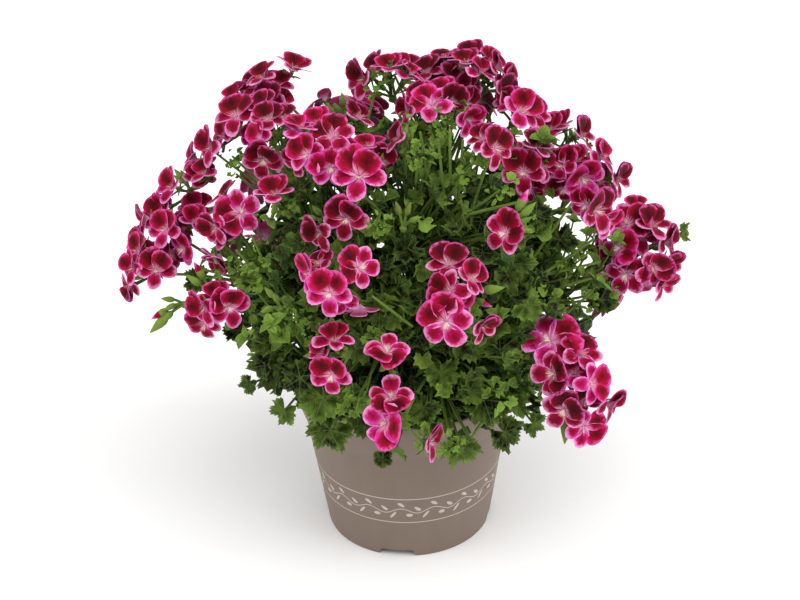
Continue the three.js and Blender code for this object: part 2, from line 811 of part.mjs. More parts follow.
function soilSolid() {
  const inset = wall + seatGap * 2;
  const collarShare = (soilTop - collarFoot) / (potHeight - collarFoot);
  const topRadius = THREE.MathUtils.lerp(collarFootRadius, rimRadius, collarShare) - inset;
  const profile = [
    [0, wall + seatGap], [baseRadius - inset, wall + seatGap],
    [wallTopRadius - inset, collarFoot], [topRadius, soilTop],
    [topRadius * 0.6, soilTop + soilCrown * 0.7], [0, soilTop + soilCrown],
  ];
  const holes = cuttings.map(({ root: [x, y] }) => {
    const radius = woodRadius + seatGap;
    const hole = new THREE.CylinderGeometry(radius, radius, stemHoleTool, roundFacets).rotateX(Math.PI / 2);
    return solidOf(hole.translate(x, y, soilTop - stemHoleDepth + stemHoleTool / 2));
  });
  return solidOf(turned(profile, potFacets)).subtract(fused([...channels(wall + seatGap), ...holes]));
}

// The plant

const plants = cuttings.map(placedCutting);
const heads = [...frontHeads.map(placedFrontHead), ...backHeads.map(placedBackHead)];
heads.forEach((head) => {
  const { plant, curve } = peduncleOf(plants, head.hub, hubFaceDistance + seatGap);
  head.plant = plant;
  head.arrival = curve.getTangentAt(1);
});

// Branches and peduncles of one cutting, or with grow the room that they need
function stemSolids(plant, grow) {
  const stop = hubFaceDistance + seatGap - grow * endShare;
  const own = heads.filter((head) => head.plant === plant);
  const stalks = own.map((head) => peduncleOf(plants, head.hub, stop).curve);
  return [
    rootSolid(plant.root),
    ...plant.branches.map((curve) => solidOf(bentCylinder(curve, grown(branchRadii, grow), branchSides))),
    ...stalks.map((curve) => solidOf(bentCylinder(curve, grown(peduncleRadii, grow), peduncleSides))),
  ];
}

function budHeadSolid({ hub, buds }) {
  const head = placedFrontHead({ name: "", hub, blooms: [], buds });
  const { plant, curve } = peduncleOf(plants, head.hub, 0);
  head.arrival = curve.getTangentAt(1);
  const stalk = solidOf(bentCylinder(curve, peduncleRadii, peduncleSides));
  return { plant, solid: fused([headSolid(head), stalk]) };
}

// A head keeps clear of the stems that climb past it
function clearedHead(head, stemRoom) {
  const solid = headSolid(head);
  return solid.minGap(stemRoom, seatGap) > 0 ? solid : largestBody(solid.subtract(stemRoom));
}

const stemRoom = fused(plants.flatMap((plant) => stemSolids(plant, clearance)));
const headSolids = heads.map((head) => clearedHead(head, stemRoom));
const pot = potSolid();
const soil = soilSolid();
const taken = fused([...headSolids, pot, soil]);

const greens = new Map(plants.map((plant) => [plant, stemSolids(plant, 0)]));
for (const { plant, solid } of budHeads.map(budHeadSolid)) {
  if (solid.minGap(taken, seatGap) >= seatGap * 0.9) greens.get(plant).push(solid);
}
const leafFrames = [...seenLeaves.map(seenLeafFrame), ...ringLeafFrames()];
for (const leaf of leafFrames.map((frame) => placedLeaf(plants, frame))) {
  const solid = leafSolid(leaf);
  if (solid.minGap(taken, seatGap) >= seatGap * 0.9) greens.get(leaf.plant).push(solid);
}

const group = new THREE.Group();
group.add(meshOf("pot", pot, potMaterial), meshOf("soil", soil, soilMaterial));
for (const [plant, solids] of greens) group.add(meshOf(plant.name, largestBody(fused(solids)), stemMaterial));
heads.forEach((head, i) => group.add(meshOf(head.name, headSolids[i], petalMaterial)));

export default group;
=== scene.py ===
# Angel pelargonium in its nursery pot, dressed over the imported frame.
# Tables and lengths are in millimetres and become metres where a mesh is made. The front looks to -Y.

import math
import random

import bpy
import numpy as np
from mathutils import Matrix, Vector, noise


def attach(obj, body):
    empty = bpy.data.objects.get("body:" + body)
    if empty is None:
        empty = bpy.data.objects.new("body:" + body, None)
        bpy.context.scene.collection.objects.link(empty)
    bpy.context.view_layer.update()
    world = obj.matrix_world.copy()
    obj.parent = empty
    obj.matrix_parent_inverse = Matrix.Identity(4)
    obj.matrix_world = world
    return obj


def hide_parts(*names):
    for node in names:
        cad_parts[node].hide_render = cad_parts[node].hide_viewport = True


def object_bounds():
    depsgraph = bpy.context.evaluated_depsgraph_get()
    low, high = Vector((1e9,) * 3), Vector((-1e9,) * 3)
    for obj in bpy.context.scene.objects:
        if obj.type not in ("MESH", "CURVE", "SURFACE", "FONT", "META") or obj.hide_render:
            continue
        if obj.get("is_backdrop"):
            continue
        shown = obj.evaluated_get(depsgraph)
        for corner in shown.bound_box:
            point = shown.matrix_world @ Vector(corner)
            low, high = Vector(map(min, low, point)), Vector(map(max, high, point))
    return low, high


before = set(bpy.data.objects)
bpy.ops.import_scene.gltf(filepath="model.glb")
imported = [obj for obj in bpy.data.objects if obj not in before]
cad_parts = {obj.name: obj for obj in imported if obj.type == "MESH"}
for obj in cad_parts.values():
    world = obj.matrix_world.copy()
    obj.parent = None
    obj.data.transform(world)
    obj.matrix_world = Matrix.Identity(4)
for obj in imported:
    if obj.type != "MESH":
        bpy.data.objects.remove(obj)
cad_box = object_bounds()
MM = 0.001
SCENE = bpy.context.scene

# Eye: its place, and its directions from pitch, yaw and roll

EYE = Vector((0, -672, 488))
PICTURE_COLUMNS = 800
EYE_FOCAL = 1400
EYE_COLUMN = 400
EYE_ROW = 300
EYE_PITCH = math.radians(27.6)
EYE_ROLL = math.radians(-1.5)
EYE_YAW = math.radians(-0.2)
UP = Vector((0, 0, 1))
AHEAD = Vector((
    math.sin(EYE_YAW) * math.cos(EYE_PITCH),
    math.cos(EYE_YAW) * math.cos(EYE_PITCH),
    -math.sin(EYE_PITCH),
))
LEVEL = AHEAD.cross(UP).normalized()
RISE = LEVEL.cross(AHEAD)
EYE_RIGHT = LEVEL * math.cos(EYE_ROLL) + RISE * math.sin(EYE_ROLL)
EYE_UP = RISE * math.cos(EYE_ROLL) - LEVEL * math.sin(EYE_ROLL)

# Pot and soil

POT_OUTSIDE = [
    (0, 0), (46, 0), (46.7, 0.3), (47, 1), (50.5, 25), (54, 49), (57.1, 70.6), (57.3, 72), (57.55, 72.7),
    (58.35, 73.2), (58.6, 73.9), (61.6, 84), (64.8, 94.4), (64.95, 95.2), (64.75, 95.75), (64.3, 96), (0, 96),
]
POT_INSIDE = [
    (0, 1.4), (45.6, 1.4), (49.1, 25), (52.6, 49), (55.9, 72), (57.2, 73.6), (60.2, 84), (63.6, 95.3),
    (63.8, 98), (0, 98),
]
WALL = 1.4
PRINT_RINGS = (42.8, 25.9)
SPRIG_HEIGHT = 34.35
SPRIG_SWING = 1.6
CHANNELS = 4
CHANNEL_FIRST = math.radians(-99)
CHANNEL_INNER = 24
CHANNEL_OUTER = 66
CHANNEL_HEIGHT = 4.5
CHANNEL_HALF_FOOT = 11.5
CHANNEL_HALF_ROOF = 8.5
DRAIN_RADIUS = 4
DRAIN_DISTANCE = 33
SOIL_SIDE = [(0, 6.4), (45, 6.4), (55.2, 72), (59.4, 84)]
SOIL_RINGS = (57, 54, 50, 46, 42, 38, 34, 30, 26, 22, 18, 14, 10, 6, 3, 0)
SOIL_TOP = 84
SOIL_CROWN = 3
SOIL_RIM = 60
SOIL_ROUGH_WITHIN = 58.5
CRUMBS = 150
CRUMB_REACH = 56

# Plant: crown, stems, flower stalks. Wood: height and radius.

CROWN = Vector((0, 10, 140))
WOOD = [(70.3, 3.5), (80, 3.6), (90, 3.6), (97, 3.3), (103, 2.7)]
BRANCH_FOOT = 95
BRANCH_POINTS = 201
SHOOTS = 190
SHOOT_TOP = 236
TUFT_LEAVES = 9
GOLDEN_TURN = 2.39996
PEDICEL_REACH = 22
BLOOM_FULLNESS = 1.13
THROAT_DEPTH = 0.4
MORE_BLOOMS_BEHIND = 8
CUPPED_BEYOND = 48

# Petals, clockwise from the top: degrees round the throat, reach, and height of one above the other
PETALS = [(34, 1, 0.012), (104, 0.9, 0.05), (180, 0.92, 0.07), (256, 0.9, 0.035), (326, 1, 0)]

# Flowers, flat ones first: depth of the cup, degrees that the upper and the lower petals lean
BLOOM_SHAPES = [(0.3, 8, -2), (0.36, 14, 2), (0.24, 2, -10), (0.34, 18, -8), (0.38, 26, -6), (0.42, 30, 4)]
BLADE_THICKNESS = 0.03

# Heads on the front. Hub: column, row and Y. Blooms: column, row, hour they look towards, degrees away
# from the eye, hour of the two large petals, span in columns. Buds: column and row.
FRONT_HEADS = {
    "head_left_tip": [(155, 275, -5), [
        (157, 270, 12, 10, 12, 40), (131, 267, 9, 50, 12, 36), (128, 288, 8, 60, 7, 32),
        (137, 249, 10, 50, 12, 36)], []],
    "head_left_shoulder": [(172, 234, 8), [
        (165, 229, 10, 35, 12, 40), (143, 218, 9, 70, 12, 34), (181, 250, 8, 45, 2, 36),
        (195, 220, 1, 55, 12, 36)], []],
    "head_left_upper": [(190, 190, 24), [
        (172, 185, 10, 50, 12, 40), (203, 171, 11, 60, 12, 38), (164, 206, 9, 50, 12, 36)], []],
    "head_left_inner": [(235, 228, -20), [
        (240, 213, 12, 10, 8, 46), (222, 193, 11, 75, 12, 36), (213, 228, 8, 50, 10, 38),
        (217, 260, 7, 80, 6, 36)], [(240, 250)]],
    "head_left_cup": [(271, 222, -45), [(275, 192, 12, 55, 12, 42)], []],
    "head_left_crest": [(240, 132, 25), [
        (235, 113, 11, 40, 12, 46), (246, 92, 12, 110, 12, 36), (208, 146, 9, 55, 12, 42)], []],
    "head_top_left": [(277, 95, 40), [
        (261, 75, 11, 60, 12, 38), (270, 99, 9, 25, 12, 36), (295, 66, 1, 70, 1, 40)], []],
    "head_left_heart": [(273, 142, 0), [
        (268, 118, 12, 40, 12, 36), (258, 138, 9, 45, 11, 36), (263, 160, 6, 30, 12, 42),
        (287, 126, 2, 105, 12, 34)], []],
    "head_middle_left": [(320, 152, -35), [
        (300, 126, 12, 60, 11, 40), (333, 136, 12, 25, 11, 44), (306, 154, 9, 30, 11, 42),
        (330, 168, 6, 25, 11, 42)], []],
    "head_middle": [(362, 196, -50), [(359, 176, 12, 12, 12, 54), (346, 218, 7, 20, 12, 46)], []],
    "head_middle_rear": [(374, 162, -5), [(369, 143, 12, 75, 12, 38), (384, 162, 3, 45, 12, 38)], []],
    "head_top_rear": [(343, 122, 20), [
        (323, 98, 11, 110, 12, 24), (360, 114, 1, 70, 12, 38)], [(342, 95)]],
    "head_top_first": [(392, 98, 30), [
        (362, 77, 9, 55, 12, 44), (390, 66, 12, 65, 12, 38), (411, 72, 1, 65, 12, 36)], [(373, 94)]],
    "head_top_second": [(440, 88, 62), [
        (427, 70, 11, 50, 12, 38), (453, 79, 1, 60, 11, 42), (446, 55, 12, 80, 12, 36)], []],
    "head_top_third": [(428, 120, 15), [
        (405, 111, 9, 70, 12, 36), (432, 103, 12, 35, 10, 44), (453, 103, 4, 40, 12, 40)], []],
    "head_top_tip": [(484, 90, 45), [
        (467, 60, 12, 70, 12, 38), (482, 70, 1, 55, 12, 36), (500, 66, 2, 70, 12, 36),
        (506, 90, 3, 60, 1, 38)], []],
    "head_right_heart": [(476, 134, -5), [(469, 118, 4, 50, 12, 38)], []],
    "head_middle_dark": [(404, 152, -25), [(396, 136, 10, 75, 12, 38)], []],
    "head_right_crest": [(513, 124, 25), [(522, 110, 2, 35, 1, 44)], [(496, 106)]],
    "head_right_star": [(482, 156, -35), [(498, 148, 3, 40, 12, 44)], []],
    "head_right_upper": [(530, 164, 8), [(524, 172, 9, 15, 12, 46), (536, 145, 1, 60, 12, 40)], []],
    "head_right_rear": [(565, 147, 35), [(550, 128, 12, 55, 12, 40), (582, 133, 2, 65, 12, 40)], []],
    "head_right_shoulder": [(589, 174, 8), [
        (561, 165, 10, 35, 12, 38), (583, 178, 5, 30, 11, 46), (603, 156, 2, 55, 12, 38),
        (619, 178, 3, 60, 12, 38), (562, 191, 7, 45, 12, 32)], []],
    "head_right_inner": [(586, 208, -25), [(598, 210, 3, 40, 11, 48)], []],
    "head_right_tip": [(641, 250, -5), [
        (628, 223, 12, 25, 3, 46), (619, 248, 9, 35, 3, 42), (652, 224, 1, 50, 12, 44),
        (670, 243, 3, 60, 12, 40), (654, 267, 5, 35, 2, 42), (626, 275, 7, 30, 1, 44),
        (664, 284, 4, 60, 12, 36)], [(613, 298)]],
    "head_centre_cup": [(326, 223, -58), [(317, 233, 8, 55, 11, 42)], []],
    "head_centre_left": [(343, 288, -88), [
        (307, 272, 9, 60, 12, 42), (330, 293, 8, 12, 12, 48), (360, 267, 2, 30, 9, 44),
        (359, 311, 6, 110, 12, 40)], [(342, 268)]],
    "head_centre_right": [(462, 297, -88), [
        (449, 263, 12, 40, 12, 46), (448, 291, 9, 35, 9, 46), (446, 322, 7, 15, 11, 56),
        (484, 326, 4, 60, 12, 38), (473, 277, 2, 55, 1, 40)], [(502, 288), (490, 306)]],
    "head_right_face": [(507, 234, -60), [(504, 233, 9, 30, 2, 46)], [(527, 192), (534, 204), (530, 218)]],
    "head_front_cup": [(389, 366, -100), [(387, 350, 12, 40, 6, 46)], []],
    "head_front_left": [(346, 355, -98), [
        (334, 338, 12, 55, 12, 42), (331, 376, 7, 25, 12, 44)], [(306, 356)]],
    "head_front_low": [(404, 417, -106), [
        (391, 398, 12, 20, 6, 45), (386, 424, 8, 25, 4, 49), (434, 442, 3, 72, 12, 40)], []],
    "head_front_right": [(572, 385, -80), [
        (550, 340, 11, 25, 3, 60), (553, 374, 9, 30, 3, 46), (564, 410, 7, 25, 1, 46),
        (585, 428, 5, 35, 3, 44), (594, 384, 3, 40, 3, 44), (612, 406, 4, 60, 12, 40),
        (582, 352, 1, 45, 12, 44)], [(565, 440)]],
    "head_low_left": [(214, 298, -45), [
        (229, 307, 4, 25, 11, 44), (202, 308, 8, 50, 11, 42)], [(188, 276), (195, 264)]],
}

# Blooms that close the heads up from behind those, with the same numbers
MORE_BLOOMS = {
    "head_left_tip": [(140, 242, 10, 50, 12, 36), (148, 256, 12, 40, 12, 38), (172, 254, 3, 45, 2, 32)],
    "head_left_shoulder": [(157, 213, 11, 45, 12, 40), (182, 228, 2, 60, 12, 36), (196, 207, 12, 50, 12, 36)],
    "head_left_upper": [(192, 156, 10, 70, 12, 32), (200, 176, 12, 40, 12, 34)],
    "head_left_inner": [(224, 234, 10, 50, 12, 36), (214, 258, 7, 70, 6, 32)],
    "head_left_crest": [
        (222, 134, 10, 55, 12, 34), (249, 104, 10, 45, 12, 36), (252, 138, 9, 40, 12, 30),
        (232, 96, 11, 60, 12, 34)],
    "head_top_left": [(254, 84, 11, 50, 12, 36), (283, 101, 2, 60, 1, 34), (276, 84, 12, 45, 12, 36)],
    "head_left_heart": [(284, 116, 12, 50, 12, 34), (262, 104, 11, 50, 12, 34)],
    "head_middle_left": [(318, 121, 12, 55, 12, 36), (345, 152, 2, 45, 12, 34), (296, 160, 8, 45, 12, 34)],
    "head_top_first": [(405, 64, 12, 60, 12, 34), (374, 66, 10, 60, 12, 34)],
    "head_top_second": [(444, 70, 11, 50, 12, 36), (424, 76, 1, 55, 12, 34), (462, 64, 1, 55, 12, 36)],
    "head_top_third": [(420, 97, 11, 45, 12, 36), (444, 92, 12, 50, 12, 36), (466, 102, 3, 45, 12, 36)],
    "head_top_tip": [
        (472, 54, 12, 55, 12, 36), (490, 60, 1, 50, 12, 36), (507, 80, 3, 55, 12, 36),
        (468, 88, 10, 50, 12, 36)],
    "head_right_crest": [(536, 112, 2, 45, 12, 38), (508, 100, 11, 55, 12, 34)],
    "head_right_rear": [(562, 124, 11, 60, 12, 34)],
    "head_right_star": [(482, 138, 11, 45, 12, 34)],
    "head_right_upper": [(543, 166, 2, 40, 12, 36), (530, 190, 6, 40, 12, 32)],
    "head_right_shoulder": [(576, 160, 12, 50, 12, 36), (600, 180, 2, 45, 12, 36)],
    "head_right_inner": [(584, 206, 8, 40, 12, 36), (608, 222, 4, 50, 12, 36)],
    "head_right_tip": [
        (642, 236, 12, 30, 12, 38), (636, 207, 12, 55, 12, 34), (645, 268, 6, 35, 12, 36),
        (648, 284, 6, 45, 12, 34), (614, 262, 8, 45, 12, 36), (669, 262, 4, 50, 12, 36)],
    "head_front_right": [
        (574, 372, 12, 35, 12, 38), (586, 402, 5, 35, 12, 38), (572, 424, 7, 40, 12, 36),
        (566, 350, 12, 40, 12, 38)],
    "head_low_left": [(203, 326, 7, 40, 12, 38), (216, 296, 12, 50, 12, 38)],
    "head_centre_left": [(318, 262, 11, 45, 12, 32), (344, 300, 5, 50, 12, 34)],
    "head_centre_right": [(460, 306, 3, 45, 12, 36)],
    "head_front_left": [(322, 352, 10, 50, 12, 34)],
}

# Heads still in bud: hub column, row and Y, then the buds
BUD_HEADS = [
    [(403, 228, -60), [(397, 206), (409, 207), (416, 219)]],
    [(184, 304, -28), [(166, 299), (168, 308), (153, 318, True), (162, 322), (152, 331)]],
    [(280, 308, -70), [(276, 298), (268, 291), (266, 310)]],
]

# Heads on the back: how far they stand from the crown's middle across and in depth, then bearing from +X
# and height of each hub
BACK_REACH = (112, 98)
BACK_HEADS = [
    (18, 128), (56, 120), (98, 118), (140, 124), (8, 178),
    (48, 176), (90, 180), (134, 176), (66, 214), (116, 202),
]

# Leaves seen between the flowers: column, row, Y, span in columns, hour of the tip, hour and degrees
# that the blade looks away from the eye
SEEN_LEAVES = [
    (330, 430, -84, 54, 7, 6, 20), (461, 447, -92, 48, 5, 6, 30), (441, 372, -84, 44, 6, 12, 35),
    (424, 408, -88, 42, 7, 12, 20), (300, 378, -78, 46, 8, 9, 20), (284, 411, -70, 36, 7, 8, 30),
    (250, 384, -58, 26, 7, 9, 30), (383, 458, -100, 24, 6, 12, 20), (505, 432, -82, 46, 4, 4, 25),
    (525, 305, -70, 46, 3, 12, 25), (536, 216, -34, 42, 2, 12, 20), (370, 232, -62, 42, 6, 12, 30),
    (421, 300, -86, 36, 12, 12, 40), (334, 258, -66, 40, 9, 9, 20), (388, 268, -62, 44, 5, 12, 30),
    (683, 232, -5, 24, 3, 3, 40), (470, 390, -84, 44, 3, 12, 30), (500, 350, -76, 46, 4, 12, 35),
    (270, 340, -66, 44, 8, 12, 30), (240, 330, -50, 40, 9, 12, 30), (440, 180, -40, 28, 12, 12, 30),
    (455, 225, -50, 36, 3, 12, 30), (410, 250, -60, 40, 8, 12, 30), (560, 240, -30, 42, 3, 12, 35),
    (300, 190, -30, 42, 10, 12, 30), (200, 280, -20, 38, 8, 12, 30), (600, 300, -30, 42, 3, 12, 35),
    (534, 424, -70, 32, 4, 4, 30),
]

# Bare stalks that stand out between the leaves: column and row of both ends, then Y
SEEN_STALKS = [
    (505, 300, 594, 239, -38), (529, 278, 600, 262, -30), (520, 300, 612, 272, -26),
    (530, 262, 574, 200, -30), (470, 214, 528, 200, -48), (372, 296, 412, 326, -84),
    (438, 140, 446, 215, -44), (463, 140, 458, 205, -42), (420, 132, 432, 205, -40),
    (492, 150, 470, 215, -40), (450, 130, 450, 190, -38), (410, 128, 420, 190, -36),
    (212, 306, 268, 300, -46), (198, 268, 262, 284, -36), (220, 240, 268, 292, -34),
    (236, 250, 282, 300, -46), (252, 236, 276, 290, -48), (330, 392, 352, 350, -90),
    (470, 440, 496, 400, -88), (535, 400, 566, 398, -72), (476, 66, 470, 110, 44),
    (390, 70, 398, 112, 26), (500, 84, 486, 128, 34), (345, 120, 352, 160, -8),
]

# Tufts of pale young leaves: column, row, Y, breadth in columns
TUFTS = [
    (354, 404, -98, 30), (428, 440, -100, 26), (452, 444, -98, 22), (312, 330, -80, 30), (292, 318, -74, 26),
    (498, 392, -88, 30), (520, 366, -80, 26), (545, 300, -56, 26), (566, 262, -36, 24), (584, 300, -34, 24),
    (600, 292, -24, 22), (470, 168, -44, 26), (440, 128, -18, 26), (402, 128, -16, 24), (418, 158, -44, 26),
    (395, 76, 22, 24), (376, 86, 18, 18), (484, 84, 36, 22), (446, 112, 4, 26), (500, 190, -48, 24),
    (545, 190, -6, 20), (226, 268, -44, 24), (250, 282, -52, 26), (262, 262, -48, 22), (240, 312, -48, 24),
    (212, 150, 18, 16), (232, 156, 14, 18), (236, 174, 2, 16), (286, 206, -36, 20), (380, 225, -72, 22),
    (334, 330, -90, 22), (372, 338, -92, 20), (520, 222, -50, 20), (590, 148, 36, 14), (566, 138, 40, 14),
]

# Rings of leaves inside the crown: count, height, radius, size of leaf
RING_LEAVES = [(12, 102, 67, 16), (10, 124, 88, 15), (9, 152, 84, 15), (7, 184, 68, 14), (4, 212, 44, 13)]

# Shells of small leaves inside the flowers: count, share of the crown's reach, lowest level of -1 to 1,
# size of leaf, brightness. The brightness is lower on the inner shells as painted shade deep in the crown.
# They fill half the crown's breadth, depth and height.
SHELLS = [(440, 0.87, -0.66, 7, 0.8), (180, 0.7, -0.72, 10, 0.2), (90, 0.47, -0.8, 11, 0.05)]
SHELL_CENTRE = Vector((0, 0, 146))
SHELL_HALVES = (120, 106, 94)

# Outlines as the eye sees them, by column and row: the dense mass of leaves, and the loose green round it
DENSE = [
    (255, 300), (256, 335), (262, 370), (278, 392), (300, 406), (322, 434), (345, 446), (400, 452),
    (440, 458), (470, 450), (505, 436), (536, 412), (552, 380), (556, 340), (556, 290), (548, 240),
    (520, 205), (480, 180), (440, 165), (395, 165), (350, 185), (305, 210), (268, 250),
]
LOOSE = [
    (190, 262), (208, 300), (226, 330), (256, 350), (270, 388), (300, 410), (345, 446), (400, 452),
    (440, 458), (470, 450), (505, 436), (545, 415), (560, 385), (570, 345), (606, 305), (626, 262),
    (606, 212), (566, 160), (515, 112), (450, 92), (385, 72), (345, 125), (300, 120), (250, 150), (215, 200),
]

# A leaf's edge, the same on both sides of the tip: degrees from it, reach
LOBES = [
    (0, 1.0), (14, 0.97), (28, 0.82), (42, 0.95), (56, 1.0), (72, 0.93), (88, 0.79), (104, 0.9), (120, 0.94),
    (142, 0.84), (160, 0.68), (172, 0.46), (180, 0.22),
]

# Cuttings: where each is rooted, then the tips that its branches reach
CUTTINGS = {
    "stems_left": [(-17, 6), [
        (-92, -12, 158), (-66, 8, 204), (-62, 56, 168), (-34, 26, 226)]],
    "stems_right": [(17, 8), [
        (98, -14, 150), (72, 10, 198), (62, 58, 166), (26, 34, 234), (0, 70, 190)]],
    "stems_front": [(0, -15), [
        (-52, -52, 130), (-14, -64, 150), (24, -66, 138), (62, -48, 128), (4, -30, 196)]],
}

# Broad suns that stand for softboxes on both sides and overhead: bearing from the front to the right and
# height in degrees, strength
SUNS = [(66, 40, 1.2), (-72, 36, 0.7), (5, 62, 0.95)]
SUN_BREADTH = math.radians(40)
SKY_STRENGTH = 0.74


# Sight lines and frames

def point_ahead(column, row, ahead):
    across = EYE_RIGHT * ((column - EYE_COLUMN) / EYE_FOCAL * ahead)
    return EYE + AHEAD * ahead + across + EYE_UP * ((EYE_ROW - row) / EYE_FOCAL * ahead)


def point_at_depth(column, row, depth):
    ray = point_ahead(column, row, 1) - EYE
    return EYE + ray * ((depth - EYE.y) / ray.y)


def ahead_of(point):
    return (point - EYE).dot(AHEAD)


def hour_direction(hour, away):
    turn = hour / 12 * 2 * math.pi
    lean = math.radians(away)
    across = EYE_RIGHT * math.sin(turn) + EYE_UP * math.cos(turn)
    return across * math.sin(lean) - AHEAD * math.cos(lean)


def seen_radius(span, ahead):
    """Half a span in columns, as mm at a distance from the eye."""
    return span / 2 * ahead / EYE_FOCAL


def frame_of(centre, normal, top, radius):
    """The matrix in metres of a flower or leaf: +Z is where it looks, +Y its top, one unit its radius."""
    upward = (top - normal * top.dot(normal)).normalized()
    side = upward.cross(normal)
    turned = Matrix((side, upward, normal)).transposed().to_4x4()
    return Matrix.Translation(centre * MM) @ turned @ Matrix.Scale(radius * MM, 4)


def axis_of(matrix, number):
    """Where a placed piece has its side, its top or its face: 0, 1 or 2."""
    return matrix.to_3x3().col[number].normalized()


def stray(dice, low=-1, high=1):
    """A random lean, up or down between two limits."""
    return Vector((dice.uniform(-1, 1), dice.uniform(-1, 1), dice.uniform(low, high)))


def random_run(seed):
    """The same run of random numbers that places the solids."""
    state = seed
    while True:
        state = state * 16807 % 2147483647
        yield state / 2147483647


# Curves

def branch_curve(root, tip):
    """A centripetal spline from the root to a branch's tip, as points an equal length apart."""
    start = np.array((*root, BRANCH_FOOT), float)
    end = np.array(tip, float)
    knots = [start]
    for out, rise in ((0.22, 0.36), (0.62, 0.75)):
        knots.append(start + (end - start) * (out, out, rise))
    knots.append(end)
    ghosts = [2 * knots[0] - knots[1], *knots, 2 * knots[-1] - knots[-2]]
    points = []
    for i in range(3):
        a, b, c, d = ghosts[i:i + 4]
        pairs = ((a, b), (b, c), (c, d))
        first, middle, last = (max(np.linalg.norm(q - p), 1e-4) ** 0.5 for p, q in pairs)
        leave = ((b - a) / first - (c - a) / (first + middle) + (c - b) / middle) * middle
        arrive = ((c - b) / middle - (d - b) / (middle + last) + (d - c) / last) * middle
        for t in np.linspace(0, 1, 68)[0 if i == 0 else 1:]:
            square, cube = t * t, t * t * t
            points.append(
                b * (1 - 3 * square + 2 * cube) + c * (3 * square - 2 * cube)
                + leave * (t - 2 * square + cube) + arrive * (cube - square)
            )
    return even_points(np.array(points), BRANCH_POINTS)


def even_points(points, count):
    steps = np.linalg.norm(np.diff(points, axis=0), axis=1)
    lengths = np.concatenate(([0], np.cumsum(steps)))
    wanted = np.linspace(0, lengths[-1], count)
    return np.stack([np.interp(wanted, lengths, points[:, k]) for k in range(3)], axis=1)


def bent(start, middle, end, count):
    t = np.linspace(0, 1, count)[:, None]
    start, middle, end = (np.array(p, float) for p in (start, middle, end))
    return start * (1 - t) ** 2 + middle * 2 * t * (1 - t) + end * t ** 2


def nearest_spot(wanted, low, high):
    """The spot on any branch that lies nearest to a wanted point, and its cutting."""
    best = (1e9, None, None)
    for cutting, branches in BRANCHES.items():
        for points in branches:
            for point in points[round(low * 20) * 10:round(high * 20) * 10 + 1:10]:
                gap = np.linalg.norm(point - np.array(wanted))
                if gap < best[0]:
                    best = (gap, Vector(point), cutting)
    return best[1], best[2]


def peduncle(hub):
    """A flower stalk that climbs from the nearest branch to its hub, and its cutting."""
    inward = (CROWN - hub).normalized()
    point, cutting = nearest_spot(hub + inward * 34 - UP * 14, 0.35, 0.95)
    middle = point.lerp(hub, 0.55) + UP * (hub - point).length * 0.08
    arrival = (hub - middle).normalized()
    return bent(point, middle, hub - arrival * 1, 9), cutting


BRANCHES = {name: [branch_curve(root, tip) for tip in tips] for name, (root, tips) in CUTTINGS.items()}


# Places of the flowers and leaves

def placed_bloom(hub, column, row, hour, away, top_hour, span, behind=0):
    hub_ahead = ahead_of(hub)
    beside = (point_ahead(column, row, hub_ahead) - hub).length
    least = (0.35 * PEDICEL_REACH) ** 2
    forward = math.sqrt(max(PEDICEL_REACH ** 2 - beside ** 2, least))
    ahead = hub_ahead - forward * (-0.5 if away > 90 else 1) + behind
    radius = seen_radius(span, ahead) * BLOOM_FULLNESS
    normal = hour_direction(hour, away)
    # The throat lies deeper the more the flower is seen from its side
    inward = normal * radius * THROAT_DEPTH * math.sin(math.radians(away))
    centre = point_ahead(column, row, ahead) - inward
    return {"at": frame_of(centre, normal, hour_direction(top_hour, 90), radius), "away": away}


def front_heads():
    for name, (hub, blooms, buds) in FRONT_HEADS.items():
        place = point_at_depth(*hub)
        ahead = ahead_of(place) - PEDICEL_REACH * 0.3
        more = [placed_bloom(place, *bloom, MORE_BLOOMS_BEHIND) for bloom in MORE_BLOOMS.get(name, [])]
        yield {
            "name": name,
            "hub": place,
            "blooms": [placed_bloom(place, *bloom) for bloom in blooms] + more,
            "buds": [point_ahead(column, row, ahead) for column, row in buds],
        }


def back_heads():
    for number, (bearing, height) in enumerate(BACK_HEADS):
        run = random_run(700 + number * 31)
        angle = math.radians(bearing)
        off = (height - CROWN.z) * 0.8 if height > CROWN.z else CROWN.z - height
        narrow = 1 - 0.0075 * off
        across, deep = (reach * narrow for reach in BACK_REACH)
        hub = Vector((math.cos(angle) * across, CROWN.y + math.sin(angle) * deep, height))
        outward = (hub - CROWN + UP * 25).normalized()
        side = outward.cross(UP).normalized()
        rise = side.cross(outward)
        blooms = []
        for i in range(3):
            turn = (i + next(run)) / 3 * 2 * math.pi
            normal = (outward + side * math.cos(turn) * 0.95 + rise * math.sin(turn) * 0.95).normalized()
            radius = 15 * (0.9 + 0.2 * next(run))
            place = hub + normal * PEDICEL_REACH
            blooms.append({"at": frame_of(place, normal, rise, radius), "away": 20})
            # Between each two of them a flower that the solid leaves out
            turn += math.pi / 3
            normal = (outward + side * math.cos(turn) * 1.1 + rise * math.sin(turn) * 1.1).normalized()
            place = hub + normal * (PEDICEL_REACH - 4)
            blooms.append({"at": frame_of(place, normal, rise, 13.5), "away": 55})
        yield {"name": f"head_back_{number + 1}", "hub": hub, "blooms": blooms, "buds": []}


def seen_leaf_frames():
    for column, row, depth, span, tip_hour, hour, away in SEEN_LEAVES:
        centre = point_at_depth(column, row, depth)
        radius = seen_radius(span, ahead_of(centre)) * 0.9
        yield frame_of(centre, hour_direction(hour, away), hour_direction(tip_hour, 90), radius)


